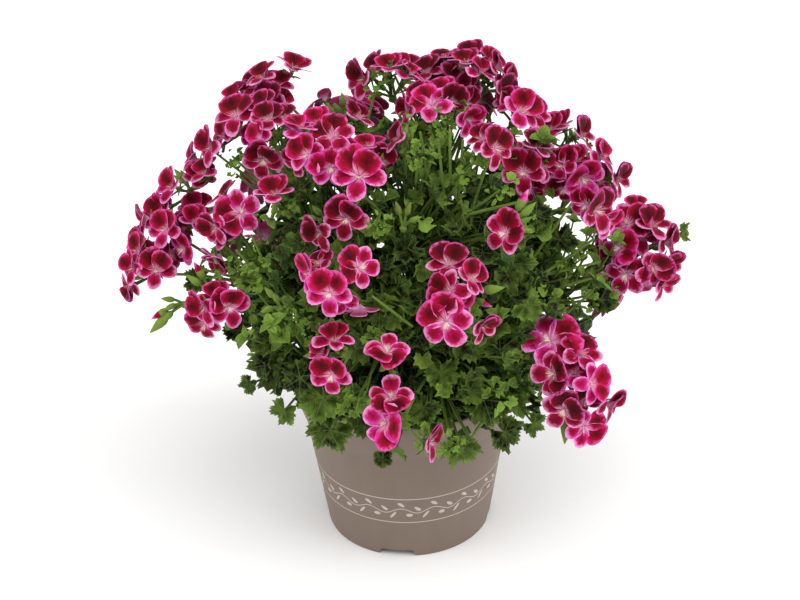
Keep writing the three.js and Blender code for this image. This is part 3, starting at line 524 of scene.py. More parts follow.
def ring_leaf_frames():
    run = random_run(4711)
    for ring, (count, height, radius, leaf) in enumerate(RING_LEAVES):
        for i in range(count):
            bearing = math.radians(15 + ring * 17 + i / count * 360 + (next(run) - 0.5) * 20)
            reach = radius + (next(run) - 0.5) * 18
            outward = Vector((math.cos(bearing), math.sin(bearing), 0))
            centre = outward * reach + Vector((0, CROWN.y * 0.5, height + (next(run) - 0.5) * 18))
            normal = (outward * 0.7 + UP * 0.8).normalized()
            yield frame_of(centre, normal, outward - UP * 0.5, leaf * (0.85 + 0.3 * next(run)))


# Materials

def linear(colour):
    """An sRGB hex colour as linear RGBA."""
    channels = [int(colour[i:i + 2], 16) / 255 for i in (0, 2, 4)]
    return tuple(c / 12.92 if c <= 0.04045 else ((c + 0.055) / 1.055) ** 2.4 for c in channels) + (1,)


def add(tree, kind, settings=None, inputs=None):
    """Adds a node with its settings, and sets or links its inputs."""
    node = tree.nodes.new("ShaderNode" + kind)
    for name, value in (settings or {}).items():
        setattr(node, name, value)
    for key, value in (inputs or {}).items():
        if isinstance(value, bpy.types.NodeSocket):
            tree.links.new(value, node.inputs[key])
        else:
            node.inputs[key].default_value = value
    return node


def blank(name):
    """An empty material and its tree."""
    material = bpy.data.materials.new(name)
    material.use_nodes = True
    material.node_tree.nodes.clear()
    return material, material.node_tree


def finished(material, settings):
    """The material with its shader and output added."""
    tree = material.node_tree
    shader = add(tree, "BsdfPrincipled", None, settings)
    add(tree, "OutputMaterial", None, {"Surface": shader.outputs[0]})
    return material


def ramp(tree, value, stops):
    """A colour for a value, from stops of place and hex colour."""
    node = add(tree, "ValToRGB", None, {0: value})
    elements = node.color_ramp.elements
    while len(elements) < len(stops):
        elements.new(0.5)
    for element, (place, colour) in zip(elements, stops):
        element.position = place
        element.color = linear(colour)
    return node.outputs[0]


def maths(tree, operation, *values, clamp=False):
    settings = {"operation": operation, "use_clamp": clamp}
    return add(tree, "Math", settings, dict(enumerate(values))).outputs[0]


def remap(tree, value, low, high, to_low, to_high, kind="LINEAR"):
    """A value carried from one range to another."""
    inputs = dict(enumerate((value, low, high, to_low, to_high)))
    return add(tree, "MapRange", {"interpolation_type": kind}, inputs).outputs[0]


def eased(tree, *values):
    return remap(tree, *values, "SMOOTHSTEP")


def blend(tree, share, first, second, kind="MIX"):
    """Two colours mixed. A colour may be a hex string."""
    first, second = (linear(c) if isinstance(c, str) else c for c in (first, second))
    settings = {"data_type": "RGBA", "blend_type": kind}
    return add(tree, "Mix", settings, {"Factor": share, 6: first, 7: second}).outputs[2]


def values_of(tree, name):
    return add(tree, "Attribute", {"attribute_name": name}).outputs["Fac"]


def object_place(tree):
    return add(tree, "TexCoord").outputs["Object"]


def joined_axes(tree, *axes):
    return add(tree, "CombineXYZ", None, dict(enumerate(axes))).outputs[0]


def length_of(tree, *axes):
    place = joined_axes(tree, *axes)
    return add(tree, "VectorMath", {"operation": "LENGTH"}, {0: place}).outputs["Value"]


def clouds(tree, place, scale, detail=2, distortion=0):
    inputs = {"Vector": place, "Scale": scale, "Detail": detail, "Distortion": distortion}
    return add(tree, "TexNoise", None, inputs).outputs[0]


def bumps(tree, height, strength, distance):
    inputs = {"Height": height, "Strength": strength, "Distance": distance}
    return add(tree, "Bump", None, inputs).outputs[0]


def stretched(tree, place, scale):
    return add(tree, "Mapping", None, {"Vector": place, "Scale": scale}).outputs[0]


def flat_axes(tree):
    """Across and along the piece as it was before it was bent."""
    flat = add(tree, "UVMap", {"uv_map": "flat"}).outputs[0]
    return add(tree, "SeparateXYZ", None, {0: flat}).outputs[:2]


def petal_axes(tree, tone):
    """Across and along a petal from its claw, and a place that spreads in rays from the claw."""
    across, y = flat_axes(tree)
    x = maths(tree, "SUBTRACT", across, 0.5)
    angle = maths(tree, "ARCTAN2", x, y)
    rays = maths(tree, "MULTIPLY", angle, 5.5)
    return x, y, joined_axes(tree, rays, y, tone)


def petal_face(name, heart, stops, margin, margin_start, margin_share):
    """Living petal, velvety face: a dark blotch that fades outwards to a pale margin, a pale throat that
    the veins feather. heart: the blotch's middle and reach along the petal, and how narrow it is."""
    material, tree = blank(name)
    rim = values_of(tree, "margin")
    tone = values_of(tree, "tone")
    x, y, rays = petal_axes(tree, tone)
    stripes = clouds(tree, rays, 2.2, 2, 0.4)
    vein = eased(tree, stripes, 0.46, 0.62, 0, 1)
    # Blotch: distance from its heart, made uneven by flecks of about 2 mm
    middle, length, narrowness = heart
    wide = maths(tree, "MULTIPLY", x, narrowness)
    along = maths(tree, "SUBTRACT", y, middle)
    far = length_of(tree, wide, along)
    far = maths(tree, "MULTIPLY", far, 1 / length)
    flecks = clouds(tree, object_place(tree), 420, 3)
    uneven = remap(tree, flecks, 0.3, 0.7, -0.1, 0.1)
    shifted = remap(tree, tone, 0, 1, -0.2, 0.3)
    far = maths(tree, "ADD", far, uneven)
    far = maths(tree, "ADD", far, shifted)
    colour = ramp(tree, far, stops)
    # Veins a shade deeper over the whole petal
    deeper = maths(tree, "MULTIPLY", vein, 0.35)
    colour = blend(tree, deeper, colour, "9A6A7C", "MULTIPLY")
    # Margin
    edge = maths(tree, "ADD", rim, uneven)
    edge = eased(tree, edge, margin_start, 1.06, 0, margin_share)
    colour = blend(tree, edge, colour, margin)
    # Throat
    feather = eased(tree, y, 0.34, 0.08, 0, 0.8)
    clear = maths(tree, "SUBTRACT", 1, vein)
    throat = maths(tree, "MULTIPLY", feather, clear)
    colour = blend(tree, throat, colour, "E8B4D0")
    return finished(material, {
        "Base Color": colour, "Roughness": 0.65, "IOR": 1.4, "Sheen Weight": 0.02, "Sheen Roughness": 0.4,
        "Specular IOR Level": 0.1, "Normal": bumps(tree, stripes, 0.35, 0.0004)})


def petal_back():
    """Living petal, outer face: duller, greyed by fine hairs, pale at the claw, veins a little darker."""
    material, tree = blank("petal_outer_face")
    rim = values_of(tree, "margin")
    _, y, rays = petal_axes(tree, values_of(tree, "tone"))
    stripes = clouds(tree, rays, 2.4, 3)
    colour = ramp(tree, y, [(0.05, "EED2E0"), (0.3, "D07CA6"), (0.6, "AC3464"), (1, "B83C74")])
    shade = remap(tree, stripes, 0.35, 0.65, 0.05, 0.5)
    colour = blend(tree, shade, colour, "B8899A", "MULTIPLY")
    edge = eased(tree, rim, 0.9, 1.02, 0, 0.8)
    colour = blend(tree, edge, colour, "E88CBC")
    return finished(material, {
        "Base Color": colour, "Roughness": 0.7, "IOR": 1.4, "Sheen Weight": 0.08, "Specular IOR Level": 0.12,
        "Normal": bumps(tree, stripes, 0.4, 0.0004)})


def hairy_green(name, dark, light, flush, sheen):
    """Young shoot and stalk: soft green skin with a reddish flush in places and a bloom of fine hairs."""
    material, tree = blank(name)
    place = object_place(tree)
    tone = values_of(tree, "tone")
    patch = clouds(tree, place, 60)
    skin = clouds(tree, place, 900)
    colour = blend(tree, tone, dark, light)
    red = eased(tree, patch, 0.55, 0.75, 0, 0.5)
    colour = blend(tree, red, colour, flush)
    mottle = remap(tree, skin, 0.3, 0.7, 0, 0.35)
    colour = blend(tree, mottle, colour, "8A9A70", "MULTIPLY")
    return finished(material, {
        "Base Color": colour, "Roughness": 0.55, "Sheen Weight": sheen, "Sheen Roughness": 0.5,
        "Specular IOR Level": 0.2, "Normal": bumps(tree, skin, 0.3, 0.0003)})


def leaf_face(name, dark, light, vein_colour, vein_share, roughness):
    """Pelargonium leaf: palmate veins at every 58 degrees with side veins off them, the blade pillowed
    between them, paler towards the margin, with a soft gloss."""
    material, tree = blank(name)
    x, y = (remap(tree, axis, 0, 1, -1, 1) for axis in flat_axes(tree))
    tone = values_of(tree, "tone")
    rim = values_of(tree, "margin")
    place = object_place(tree)
    angle = maths(tree, "ARCTAN2", x, y)
    # The angle from the nearest main vein
    turns = maths(tree, "DIVIDE", angle, math.radians(58))
    near = maths(tree, "ROUND", turns)
    off = maths(tree, "SUBTRACT", turns, near)
    off = maths(tree, "ABSOLUTE", off)
    off = maths(tree, "MULTIPLY", off, math.radians(58))
    reach = length_of(tree, x, y)
    sine = maths(tree, "SINE", off)
    beside = maths(tree, "MULTIPLY", sine, reach)
    main = eased(tree, beside, 0.008, 0.035, 1, 0)
    # Side veins leave the main ones at about 45 degrees, one every 2.5 mm or so
    slant = maths(tree, "MULTIPLY_ADD", beside, -0.9, reach)
    wave = maths(tree, "MULTIPLY", slant, 34)
    wave = maths(tree, "SINE", wave)
    side = eased(tree, wave, 0.7, 1, 0, 0.5)
    veins = maths(tree, "MAXIMUM", main, side)
    seen = maths(tree, "MULTIPLY", veins, vein_share)
    patch = clouds(tree, place, 240, 3)
    uneven = remap(tree, patch, 0.3, 0.7, -0.25, 0.25)
    mixed = maths(tree, "ADD", tone, uneven)
    outer = remap(tree, rim, 0.7, 1, 0, 0.3)
    mixed = maths(tree, "ADD", mixed, outer, clamp=True)
    colour = blend(tree, mixed, dark, light)
    colour = blend(tree, seen, colour, vein_colour)
    sunk = maths(tree, "SUBTRACT", 1, veins)
    height = maths(tree, "MULTIPLY_ADD", patch, 0.5, sunk)
    return finished(material, {
        "Base Color": colour, "Roughness": roughness, "IOR": 1.45, "Specular IOR Level": 0.1,
        "Normal": bumps(tree, height, 0.75, 0.001)})


def cream_filament():
    """Stamens and style: waxy, translucent cream going pink at the tips."""
    material, tree = blank("stamen_waxy_cream")
    along = values_of(tree, "margin")
    colour = ramp(tree, along, [(0, "E9EBC8"), (0.7, "EFE6D2"), (0.86, "D98A9A"), (1, "B86A48")])
    return finished(material, {"Base Color": colour, "Roughness": 0.45, "Specular IOR Level": 0.4})


def stroke(tree, off, solid, gone):
    """A printed line: full up to one distance from its middle, gone at the other."""
    return eased(tree, maths(tree, "ABSOLUTE", off), solid, gone, 1, 0)


def pot_plastic():
    """Injection moulded polypropylene, taupe and matt, with a fine spark grain, faint flow marks and a
    pale pad print: two rings and a winding sprig between them."""
    material, tree = blank("pot_moulded_polypropylene")
    place = object_place(tree)
    x, y, z = add(tree, "SeparateXYZ", None, {0: place}).outputs
    height = maths(tree, "MULTIPLY", z, 1000)
    angle = maths(tree, "ARCTAN2", x, y)
    masks = []
    for ring in PRINT_RINGS:
        off = maths(tree, "SUBTRACT", height, ring)
        masks.append(stroke(tree, off, 0.22, 0.34))
    # The sprig's stem swings up and down 18 times round the pot
    phase = maths(tree, "MULTIPLY", angle, 18)
    swing = maths(tree, "SINE", phase)
    middle = maths(tree, "MULTIPLY_ADD", swing, SPRIG_SWING, SPRIG_HEIGHT)
    above = maths(tree, "SUBTRACT", height, middle)
    masks.append(stroke(tree, above, 0.2, 0.36))
    # Its leaves: slanted ovals 4.6 by 2 mm, above and below in turn
    for lift, shift, slope in ((3, 0, 0.75), (-3, 0.5, -0.75)):
        cell = maths(tree, "MULTIPLY_ADD", angle, 36 / (2 * math.pi), shift)
        cell = maths(tree, "FRACT", cell)
        across = remap(tree, cell, 0, 1, -4.54, 4.54)
        rise = maths(tree, "SUBTRACT", above, lift)
        long = maths(tree, "MULTIPLY_ADD", rise, slope, across)
        thin = maths(tree, "MULTIPLY_ADD", across, -slope, rise)
        long = maths(tree, "MULTIPLY", long, 1 / 2.9)
        thin = maths(tree, "MULTIPLY", thin, 1 / 1.3)
        reach = length_of(tree, long, thin)
        masks.append(eased(tree, reach, 0.85, 1, 1, 0))
    ink = masks[0]
    for mask in masks[1:]:
        ink = maths(tree, "MAXIMUM", ink, mask)
    flow = stretched(tree, place, (1, 1, 0.12))
    streak = clouds(tree, flow, 90, 3)
    grain = clouds(tree, place, 2600)
    shade = remap(tree, streak, 0.3, 0.7, 0, 1)
    plastic = blend(tree, shade, "736357", "79685C")
    worn = remap(tree, grain, 0.35, 0.6, 0.7, 0.95)
    printed = maths(tree, "MULTIPLY", ink, worn)
    colour = blend(tree, printed, plastic, "C3B9AF")
    # Painted shade: under the base and in the foot channels, where light hardly reaches, the plastic is
    # painted near black
    inward = length_of(tree, x, y)
    under = maths(tree, "LESS_THAN", inward, 0.0462)
    low = maths(tree, "LESS_THAN", height, 5.2)
    painted_channel_shade = maths(tree, "MULTIPLY", under, low)
    colour = blend(tree, painted_channel_shade, colour, "241D19")
    rough = remap(tree, streak, 0.3, 0.7, 0.46, 0.56)
    return finished(material, {
        "Base Color": colour, "Roughness": rough, "IOR": 1.49, "Specular IOR Level": 0.45,
        "Normal": bumps(tree, grain, 0.12, 0.0003)})


def peat():
    """Peat potting soil: dark brown, crumbly, with paler fibres."""
    material, tree = blank("soil_peat_crumb")
    place = object_place(tree)
    crumb = add(tree, "TexVoronoi", None, {"Vector": place, "Scale": 380}).outputs[0]
    fibre = clouds(tree, place, 500, 4, 1.5)
    colour = ramp(tree, fibre, [(0.3, "17110D"), (0.52, "2E221A"), (0.66, "4A382B"), (0.75, "6B5542")])
    return finished(material, {
        "Base Color": colour, "Roughness": 0.95, "Specular IOR Level": 0.2,
        "Normal": bumps(tree, crumb, 0.9, 0.0012)})


def woody_bark():
    """Old wood at the foot of the cuttings: grey-brown, finely cracked along the stem."""
    material, tree = blank("stem_woody_base")
    place = object_place(tree)
    long = stretched(tree, place, (1, 1, 0.3))
    crack = clouds(tree, long, 600, 4)
    colour = ramp(tree, crack, [(0.3, "4A3A26"), (0.5, "6E5C3C"), (0.7, "8C8054")])
    return finished(material, {
        "Base Color": colour, "Roughness": 0.8, "Normal": bumps(tree, crack, 0.6, 0.0005)})


def studio_paper():
    """The white paper that the pot stands on."""
    material, tree = blank("studio_paper_white")
    tooth = clouds(tree, object_place(tree), 900)
    colour = ramp(tree, tooth, [(0.3, "F8F8F7"), (0.7, "FCFCFB")])
    return finished(material, {"Base Color": colour, "Roughness": 0.9, "Specular IOR Level": 0.1})


UPPER = petal_face(
    "petal_upper_velvet", (0.6, 0.62, 1.0),
    [(0.0, "3C040C"), (0.4, "600615"), (0.68, "920828"), (0.86, "B61250"), (1.0, "CC2E88")],
    "DC60B0", 0.82, 0.75)
LOWER = petal_face(
    "petal_lower_velvet", (0.6, 0.56, 1.15),
    [(0.0, "700420"), (0.4, "90082E"), (0.64, "AE1056"), (0.82, "C43088"), (1.0, "D662AE")],
    "EC9CD4", 0.7, 0.8)
BACK = petal_back()
CALYX = hairy_green("calyx_downy_green", "466620", "7A963A", "725634", 0.05)
STALK = hairy_green("stem_downy_green", "2A4414", "76923A", "5E4428", 0.02)
CREAM = cream_filament()
# The blade's near-black dark end is what the inner shells' painted shade reaches
BLADE = leaf_face("leaf_upper_face", "030901", "7A9A3C", "A2B866", 0.16, 0.42)
UNDERSIDE = leaf_face("leaf_underside", "24381A", "5C7C3A", "8AA062", 0.45, 0.7)
BARK = woody_bark()
FLOWER_SKINS = [UPPER, LOWER, BACK, CALYX, STALK, CREAM]
GREEN_SKINS = [STALK, BLADE, UNDERSIDE, CALYX, BARK]


# Work on objects

def deselect():
    bpy.ops.object.select_all(action="DESELECT")


def alone(obj):
    deselect()
    obj.select_set(True)
    bpy.context.view_layer.objects.active = obj


def primitive(operator, **settings):
    """One of Blender's own mesh objects, at the origin."""
    deselect()
    operator(location=(0, 0, 0), **settings)
    return bpy.context.object


def apply_modifier(obj, kind, **settings):
    alone(obj)
    modifier = obj.modifiers.new(kind.title(), kind)
    for name, value in settings.items():
        setattr(modifier, name, value)
    bpy.ops.object.modifier_apply(modifier=modifier.name)


def joined(objects, name):
    deselect()
    for obj in objects:
        obj.select_set(True)
    bpy.context.view_layer.objects.active = objects[0]
    bpy.ops.object.join()
    objects[0].name = name
    return objects[0]


def copied(template, matrix, tone):
    """A copy of a template with its own mesh, in place, and its own tone."""
    obj = bpy.data.objects.new(template.name, template.data.copy())
    SCENE.collection.objects.link(obj)
    obj.data.transform(matrix)
    point_values(obj, "tone", [tone] * len(obj.data.vertices))
    return obj


def point_values(obj, name, values):
    attributes = obj.data.attributes
    attribute = attributes.get(name) or attributes.new(name, "FLOAT", "POINT")
    attribute.data.foreach_set("value", np.asarray(values, np.float32))


def new_object(name, vertices, edges, faces, materials):
    mesh = bpy.data.meshes.new(name)
    mesh.from_pydata(vertices, edges, faces)
    mesh.update()
    for material in materials:
        mesh.materials.append(material)
    obj = bpy.data.objects.new(name, mesh)
    SCENE.collection.objects.link(obj)
    return obj


def smooth(obj, degrees=50):
    alone(obj)
    bpy.ops.object.shade_smooth_by_angle(angle=math.radians(degrees))
    return obj


def tubes(name, runs, skins, skin, unit=MM):
    """Round stalks in one mesh. Each run is points, one radius for each, sides and tone."""
    vertices, faces, tones, margins = [], [], [], []
    for points, radii, sides, tone in runs:
        points = np.array(points, float)
        base = len(vertices)
        tangents = np.gradient(points, axis=0)
        tangents /= np.linalg.norm(tangents, axis=1)[:, None]
        guide = (0.31, 0.95, 0.1) if abs(tangents[0][1]) < 0.9 else (0.95, 0.1, 0.31)
        across = np.cross(tangents[0], guide)
        across /= np.linalg.norm(across)
        for i, (point, radius, heading) in enumerate(zip(points, radii, tangents)):
            across = across - heading * across.dot(heading)
            across /= np.linalg.norm(across)
            side = np.cross(heading, across)
            for k in range(sides):
                turn = 2 * math.pi * k / sides
                spoke = across * math.cos(turn) + side * math.sin(turn)
                vertices.append(tuple((point + spoke * radius) * unit))
                margins.append(i / (len(points) - 1))
            if i:
                for k in range(sides):
                    a = base + (i - 1) * sides + k
                    b = base + (i - 1) * sides + (k + 1) % sides
                    faces.append((a, b, b + sides, a + sides))
        faces.append(tuple(range(base + sides - 1, base - 1, -1)))
        last = base + (len(points) - 1) * sides
        faces.append(tuple(range(last, last + sides)))
        tones.extend([tone] * (len(points) * sides))
    obj = new_object(name, vertices, [], faces, skins)
    obj.data.polygons.foreach_set("material_index", [skins.index(skin)] * len(faces))
    point_values(obj, "tone", tones)
    point_values(obj, "margin", margins)
    obj.data.uv_layers.new(name="flat")
    return smooth(obj)


def shaped_grid(name, columns, rows, shape, skins, skin):
    """A grid whose points go where the shape function says, from -1 to 1 across and 0 to 1 along. The
    function also says where each point lies in the flat piece, and how near it is to the margin."""
    obj = primitive(bpy.ops.mesh.primitive_grid_add, x_subdivisions=columns, y_subdivisions=rows, size=2)
    obj.name = name
    mesh = obj.data
    spots, margins = [], []
    for vertex in mesh.vertices:
        vertex.co, spot, margin = shape(vertex.co.x, (vertex.co.y + 1) / 2)
        spots.append(spot)
        margins.append(margin)
    layer = mesh.uv_layers.active
    layer.name = "flat"
    for loop in mesh.loops:
        layer.data[loop.index].uv = spots[loop.vertex_index]
    point_values(obj, "margin", margins)
    for material in skins:
        mesh.materials.append(material)
    mesh.polygons.foreach_set("material_index", [skins.index(skin)] * len(mesh.polygons))
    return obj


# Petals and flowers, one unit from throat to tip

def petal_template(name, width, reach, cup, curl, ruffle, seed, skin):
    """A petal that narrows to a claw, its outer face in the skin of petal backs."""
    def shape(u, v):
        turn = u * math.pi * 0.95
        frill = 1 + 0.03 * math.sin(turn * 3 + seed * 1.7) + 0.014 * math.sin(turn * 5 + seed)
        along = (0.5 + 0.5 * math.cos(turn)) * frill
        across = math.sin(turn) * 0.5 * width * (0.62 + 0.52 * along) * frill
        share = 0.06 + 0.94 * v ** 0.85
        x, y = across * share, along * share
        far = math.hypot(x, y)
        lift = cup * (1 - math.exp(-3.2 * far)) - curl * far ** 3 + 0.12 * x * x
        lift += ruffle * v ** 3 * math.sin(turn * 2.5 + seed * 2.3)
        return (x * reach, y * reach, lift), (0.5 + x, y), v

    obj = shaped_grid(name, 14, 5, shape, FLOWER_SKINS, skin)
    to_back = FLOWER_SKINS.index(BACK) - FLOWER_SKINS.index(skin)
    apply_modifier(
        obj, "SOLIDIFY", thickness=BLADE_THICKNESS, offset=-1, material_offset=to_back,
        material_offset_rim=0)
    return smooth(obj, 70)


def sepal_template():
    """One narrow pointed sepal, along +Y."""
    def shape(u, v):
        width = 0.085 * (1 - v) ** 0.6 + 0.004
        place = (u * width, 0.05 + 0.42 * v, -0.09 + 0.2 * v - 0.12 * v * v - 0.05 * u * u)
        return place, ((u + 1) / 2, v), 0

    obj = shaped_grid("sepal", 2, 4, shape, FLOWER_SKINS, CALYX)
    apply_modifier(obj, "SOLIDIFY", thickness=0.02, offset=-1)
    return smooth(obj)


def bloom_template(number):
    """A whole flower: two large petals above, three below, calyx behind, stamens and style in front."""
    dice = random.Random(40 + number)
    cup, upper_lean, lower_lean = BLOOM_SHAPES[number]
    parts = []
    for petal, (middle, reach, height) in enumerate(PETALS):
        upper = petal in (0, 4)
        obj = petal_template(
            f"petal_{number}_{petal}",
            width=dice.uniform(1.1, 1.24) if upper else dice.uniform(0.72, 0.88),
            reach=reach * dice.uniform(0.94, 1.04),
            cup=cup * (1.05 if upper else 0.95),
            curl=dice.uniform(0.0, 0.16),
            ruffle=dice.uniform(0.02, 0.06) if upper else dice.uniform(0.01, 0.04),
            seed=dice.uniform(0, 6),
            skin=UPPER if upper else LOWER)
        turn = Matrix.Rotation(-math.radians(middle + dice.uniform(-9, 9)), 4, "Z")
        lean = (upper_lean if upper else lower_lean) + dice.uniform(-11, 11)
        lean = Matrix.Rotation(math.radians(lean), 4, "X")
        twist = Matrix.Rotation(math.radians(dice.uniform(-12, 12)), 4, "Y")
        obj.data.transform(Matrix.Translation((0, 0, height)) @ turn @ (lean @ twist))
        parts.append(obj)
    sepal = sepal_template()
    for i in range(5):
        parts.append(copied(sepal, Matrix.Rotation(math.radians(70 + 72 * i), 4, "Z"), 0.5))
    bpy.data.objects.remove(sepal)
    stamens = []
    for i in range(7):
        spread = math.radians(-75 + 25 * i + dice.uniform(-8, 8))
        tip = (math.sin(spread) * 0.16, -0.1 - math.cos(spread) * 0.1, 0.42 + dice.uniform(-0.08, 0.08))
        points = bent((0, 0, 0.02), (tip[0] * 0.3, tip[1] * 0.6, 0.3), tip, 4)
        stamens.append((points, [0.016, 0.013, 0.012, 0.026], 3, 0.5))
    parts.append(tubes("stamens", stamens, FLOWER_SKINS, CREAM, unit=1))
    calyx = ([(0, 0, -0.2), (0, 0, -0.1), (0, 0, 0), (0, 0, 0.03)], [0.075, 0.1, 0.11, 0.05], 6, 0.5)
    parts.append(tubes("calyx", [calyx], FLOWER_SKINS, CALYX, unit=1))
    return joined(parts, f"flower_{number}")


def bud_template(open_share):
    """A bud along +Z, one unit long: five sepals closed round crimson petals that show at the tip."""
    obj = primitive(bpy.ops.mesh.primitive_uv_sphere_add, segments=10, ring_count=8, radius=1)
    margins = []
    for vertex in obj.data.vertices:
        share = (vertex.co.z + 1) / 2
        turn = math.atan2(vertex.co.y, vertex.co.x)
        girth = 0.2 * math.sin(math.pi * share ** 0.7) ** 0.85 * (1.1 - 0.3 * share)
        girth = girth * (1 + 0.1 * math.cos(5 * turn)) + 0.006
        spun_turn = turn + share * 0.5
        vertex.co = (math.cos(spun_turn) * girth, math.sin(spun_turn) * girth, share)
        margins.append(share)
    obj.data.uv_layers.active.name = "flat"
    for material in FLOWER_SKINS:
        obj.data.materials.append(material)
    for face in obj.data.polygons:
        shows = face.center.z > 1 - open_share
        face.material_index = FLOWER_SKINS.index(LOWER if shows else CALYX)
    point_values(obj, "margin", margins)
    return smooth(obj, 60)


# Leaves, one unit from the stalk to the longest lobe

def lobe_reach(degrees, tooth, seed):
    """How far a leaf's edge lies from its stalk: five toothed lobes, a deep notch behind."""
    side = abs(degrees)
    places, reaches = zip(*LOBES)
    reach = np.interp(side, places, reaches) + 0.03 * math.sin(math.radians(degrees * 5) + seed)
    return reach + tooth * 0.055 * min(1, (180 - side) / 25)


def leaf_blade(obj):
    """Gives a leaf its thickness, with the underside and the rim in the skin after the blade's."""
    apply_modifier(
        obj, "SOLIDIFY", thickness=BLADE_THICKNESS, offset=-1, material_offset=1, material_offset_rim=1)
    return smooth(obj, 60)


def leaf_spot(x, y):
    return 0.5 + x / 2.2, 0.5 + y / 2.2


def leaf_template(name, around, rings, seed, lobing):
    """A pleated, toothed leaf, spread like a fan with its notch open behind the stalk."""
    dice = random.Random(seed)
    fold = dice.uniform(-0.1, 0.6)
    droop = dice.uniform(-0.15, 0.6)
    crimp = dice.uniform(0.06, 0.14)

    def shape(u, v):
        degrees = u * 177
        tooth = (-1) ** round((u + 1) / 2 * around)
        reach = lobe_reach(degrees, tooth, seed) ** lobing * v
        turn = math.radians(degrees)
        x, y = math.sin(turn) * reach, math.cos(turn) * reach
        pleat = math.cos(turn * 360 / 58) * 0.13 * v + math.cos(turn * 360 / 29 + 1) * 0.06 * v * v
        ripple = crimp * v * v * math.sin(turn * 9 + seed) + 0.03 * tooth * v ** 4
        lift = 0.16 * reach * reach + pleat + ripple + fold * abs(x) - droop * max(y, 0) ** 2
        return (x, y, lift), leaf_spot(x, y), v

    obj = shaped_grid(name, around, rings, shape, GREEN_SKINS, BLADE)
    alone(obj)
    bpy.ops.object.mode_set(mode="EDIT")
    bpy.ops.mesh.select_all(action="SELECT")
    bpy.ops.mesh.remove_doubles(threshold=0.001)
    bpy.ops.object.mode_set(mode="OBJECT")
    return leaf_blade(obj)


def young_leaf_template(name, width, seed):
    """A narrow young leaf along +Y, folded along its middle and bent back at the tip."""
    def shape(u, v):
        half = width * (math.sin(math.pi * v ** 0.75) ** 0.7 + 0.05) * (1 + 0.12 * math.sin(v * 14 + seed))
        lift = 0.5 * abs(u) * half + 0.3 * v - 0.34 * v * v
        return (u * half, v, lift), leaf_spot(u * half, v), abs(u)

    return leaf_blade(shaped_grid(name, 4, 5, shape, GREEN_SKINS, BLADE))


FLOWERS = [bloom_template(number) for number in range(len(BLOOM_SHAPES))]
TIGHT_BUD = bud_template(0)
OPENING_BUD = bud_template(0.5)
FULL_LEAVES = [leaf_template(f"leaf_full_{i}", 60, 4, 11 + i, 1.15) for i in range(4)]
FILL_LEAVES = [leaf_template(f"leaf_fill_{i}", 18, 2, 21 + i, 2) for i in range(6)]
YOUNG_LEAVES = [young_leaf_template(f"leaf_young_{i}", 0.22 + 0.08 * i, i) for i in range(4)]
TEMPLATES = [*FLOWERS, TIGHT_BUD, OPENING_BUD, *FULL_LEAVES, *FILL_LEAVES, *YOUNG_LEAVES]


# Flower heads

def bud_on_stalk(hub, tip, opening, tone, runs):
    """A bud at the end of a short stalk: returns the bud, and adds the stalk to the runs."""
    bend = hub.lerp(tip, 0.5) + UP * 2
    curve = bent(hub, bend, tip, 7)
    foot, heading = Vector(curve[3]), (Vector(curve[6]) - Vector(curve[3]))
    runs.append((curve[:5], [0.75] * 5, 5, tone))
    length = max(heading.length * 1.15, 8)
    turned = heading.to_track_quat("Z", "Y").to_matrix().to_4x4()
    at = Matrix.Translation(foot * MM) @ turned @ Matrix.Scale(length * MM, 4)
    return copied(OPENING_BUD if opening else TIGHT_BUD, at, tone)


def dress_head(head, number):
    dice = random.Random(900 + number)
    hub = head["hub"]
    parts, runs = [], []
    for bloom in head["blooms"]:
        at = bloom["at"]
        template = FLOWERS[dice.choice((4, 5, 5, 3) if bloom["away"] > CUPPED_BEYOND else (0, 1, 2, 3))]
        parts.append(copied(template, at, dice.random()))
        scale = at.to_scale()[0] / MM
        normal = axis_of(at, 2)
        foot = at.translation / MM - normal * 0.17 * scale
        middle = foot.lerp(hub, 0.4) - normal * 3.2
        radii = [0.6, 0.6, 0.65, 0.75, 0.95, 1.1]
        runs.append((bent(hub, middle, foot, 6), radii, 5, dice.uniform(0.3, 1)))
    for tip in head["buds"]:
        parts.append(bud_on_stalk(hub, tip, dice.random() < 0.4, dice.uniform(0.4, 1), runs))
    curve, _ = peduncle(hub)
    arrival = Vector(curve[8] - curve[6]).normalized()
    # Small closed buds in the heart of the head, nearly hidden
    for _ in range(3):
        lean = stray(dice, -0.2)
        tip = hub + (arrival + lean * 0.9).normalized() * dice.uniform(8, 12)
        parts.append(bud_on_stalk(hub, tip, False, dice.uniform(0.4, 1), runs))
    knot = [hub - arrival * 2.4, hub - arrival, hub, hub + arrival * 1.6]
    runs.append((knot, [1.1, 2.3, 2.5, 0.8], 8, 0.6))
    parts.append(tubes("stalks", runs, FLOWER_SKINS, STALK))
    obj = joined(parts, head["name"] + "_flowers")
    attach(obj, "root")
    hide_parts(head["name"])


# Stems and leaves

def stem_runs(cutting):
    runs = []
    for points in BRANCHES[cutting]:
        curve = points[::12]
        along = np.linspace(0, 1, len(curve))
        radii = np.interp(along, [0, 0.25, 0.5, 0.75, 1], [2.9, 2.3, 1.8, 1.4, 1.0])
        # A slight knee at each node of the stem
        radii = radii * (1 + 0.12 * (np.arange(len(curve)) % 4 == 0))
        runs.append((curve, radii, 8, 0.25))
    return runs


def leaf_on_stalk(at, dice, templates, tone, runs_of):
    """A leaf in place on a thin stalk from the nearest branch."""
    centre = at.translation / MM
    wanted = centre.lerp(CROWN, 0.3) - UP * 10
    foot, cutting = nearest_spot(wanted, 0.2, 1)
    normal = axis_of(at, 2)
    middle = foot.lerp(centre, 0.6) - axis_of(at, 1) * 2 - normal * 3
    curve = bent(foot, middle, centre - normal * 0.3, 7)
    runs_of[cutting].append((curve, [0.9, 0.75, 0.65, 0.6, 0.6, 0.6, 0.55], 5, tone))
    return cutting, copied(dice.choice(templates), at, tone)


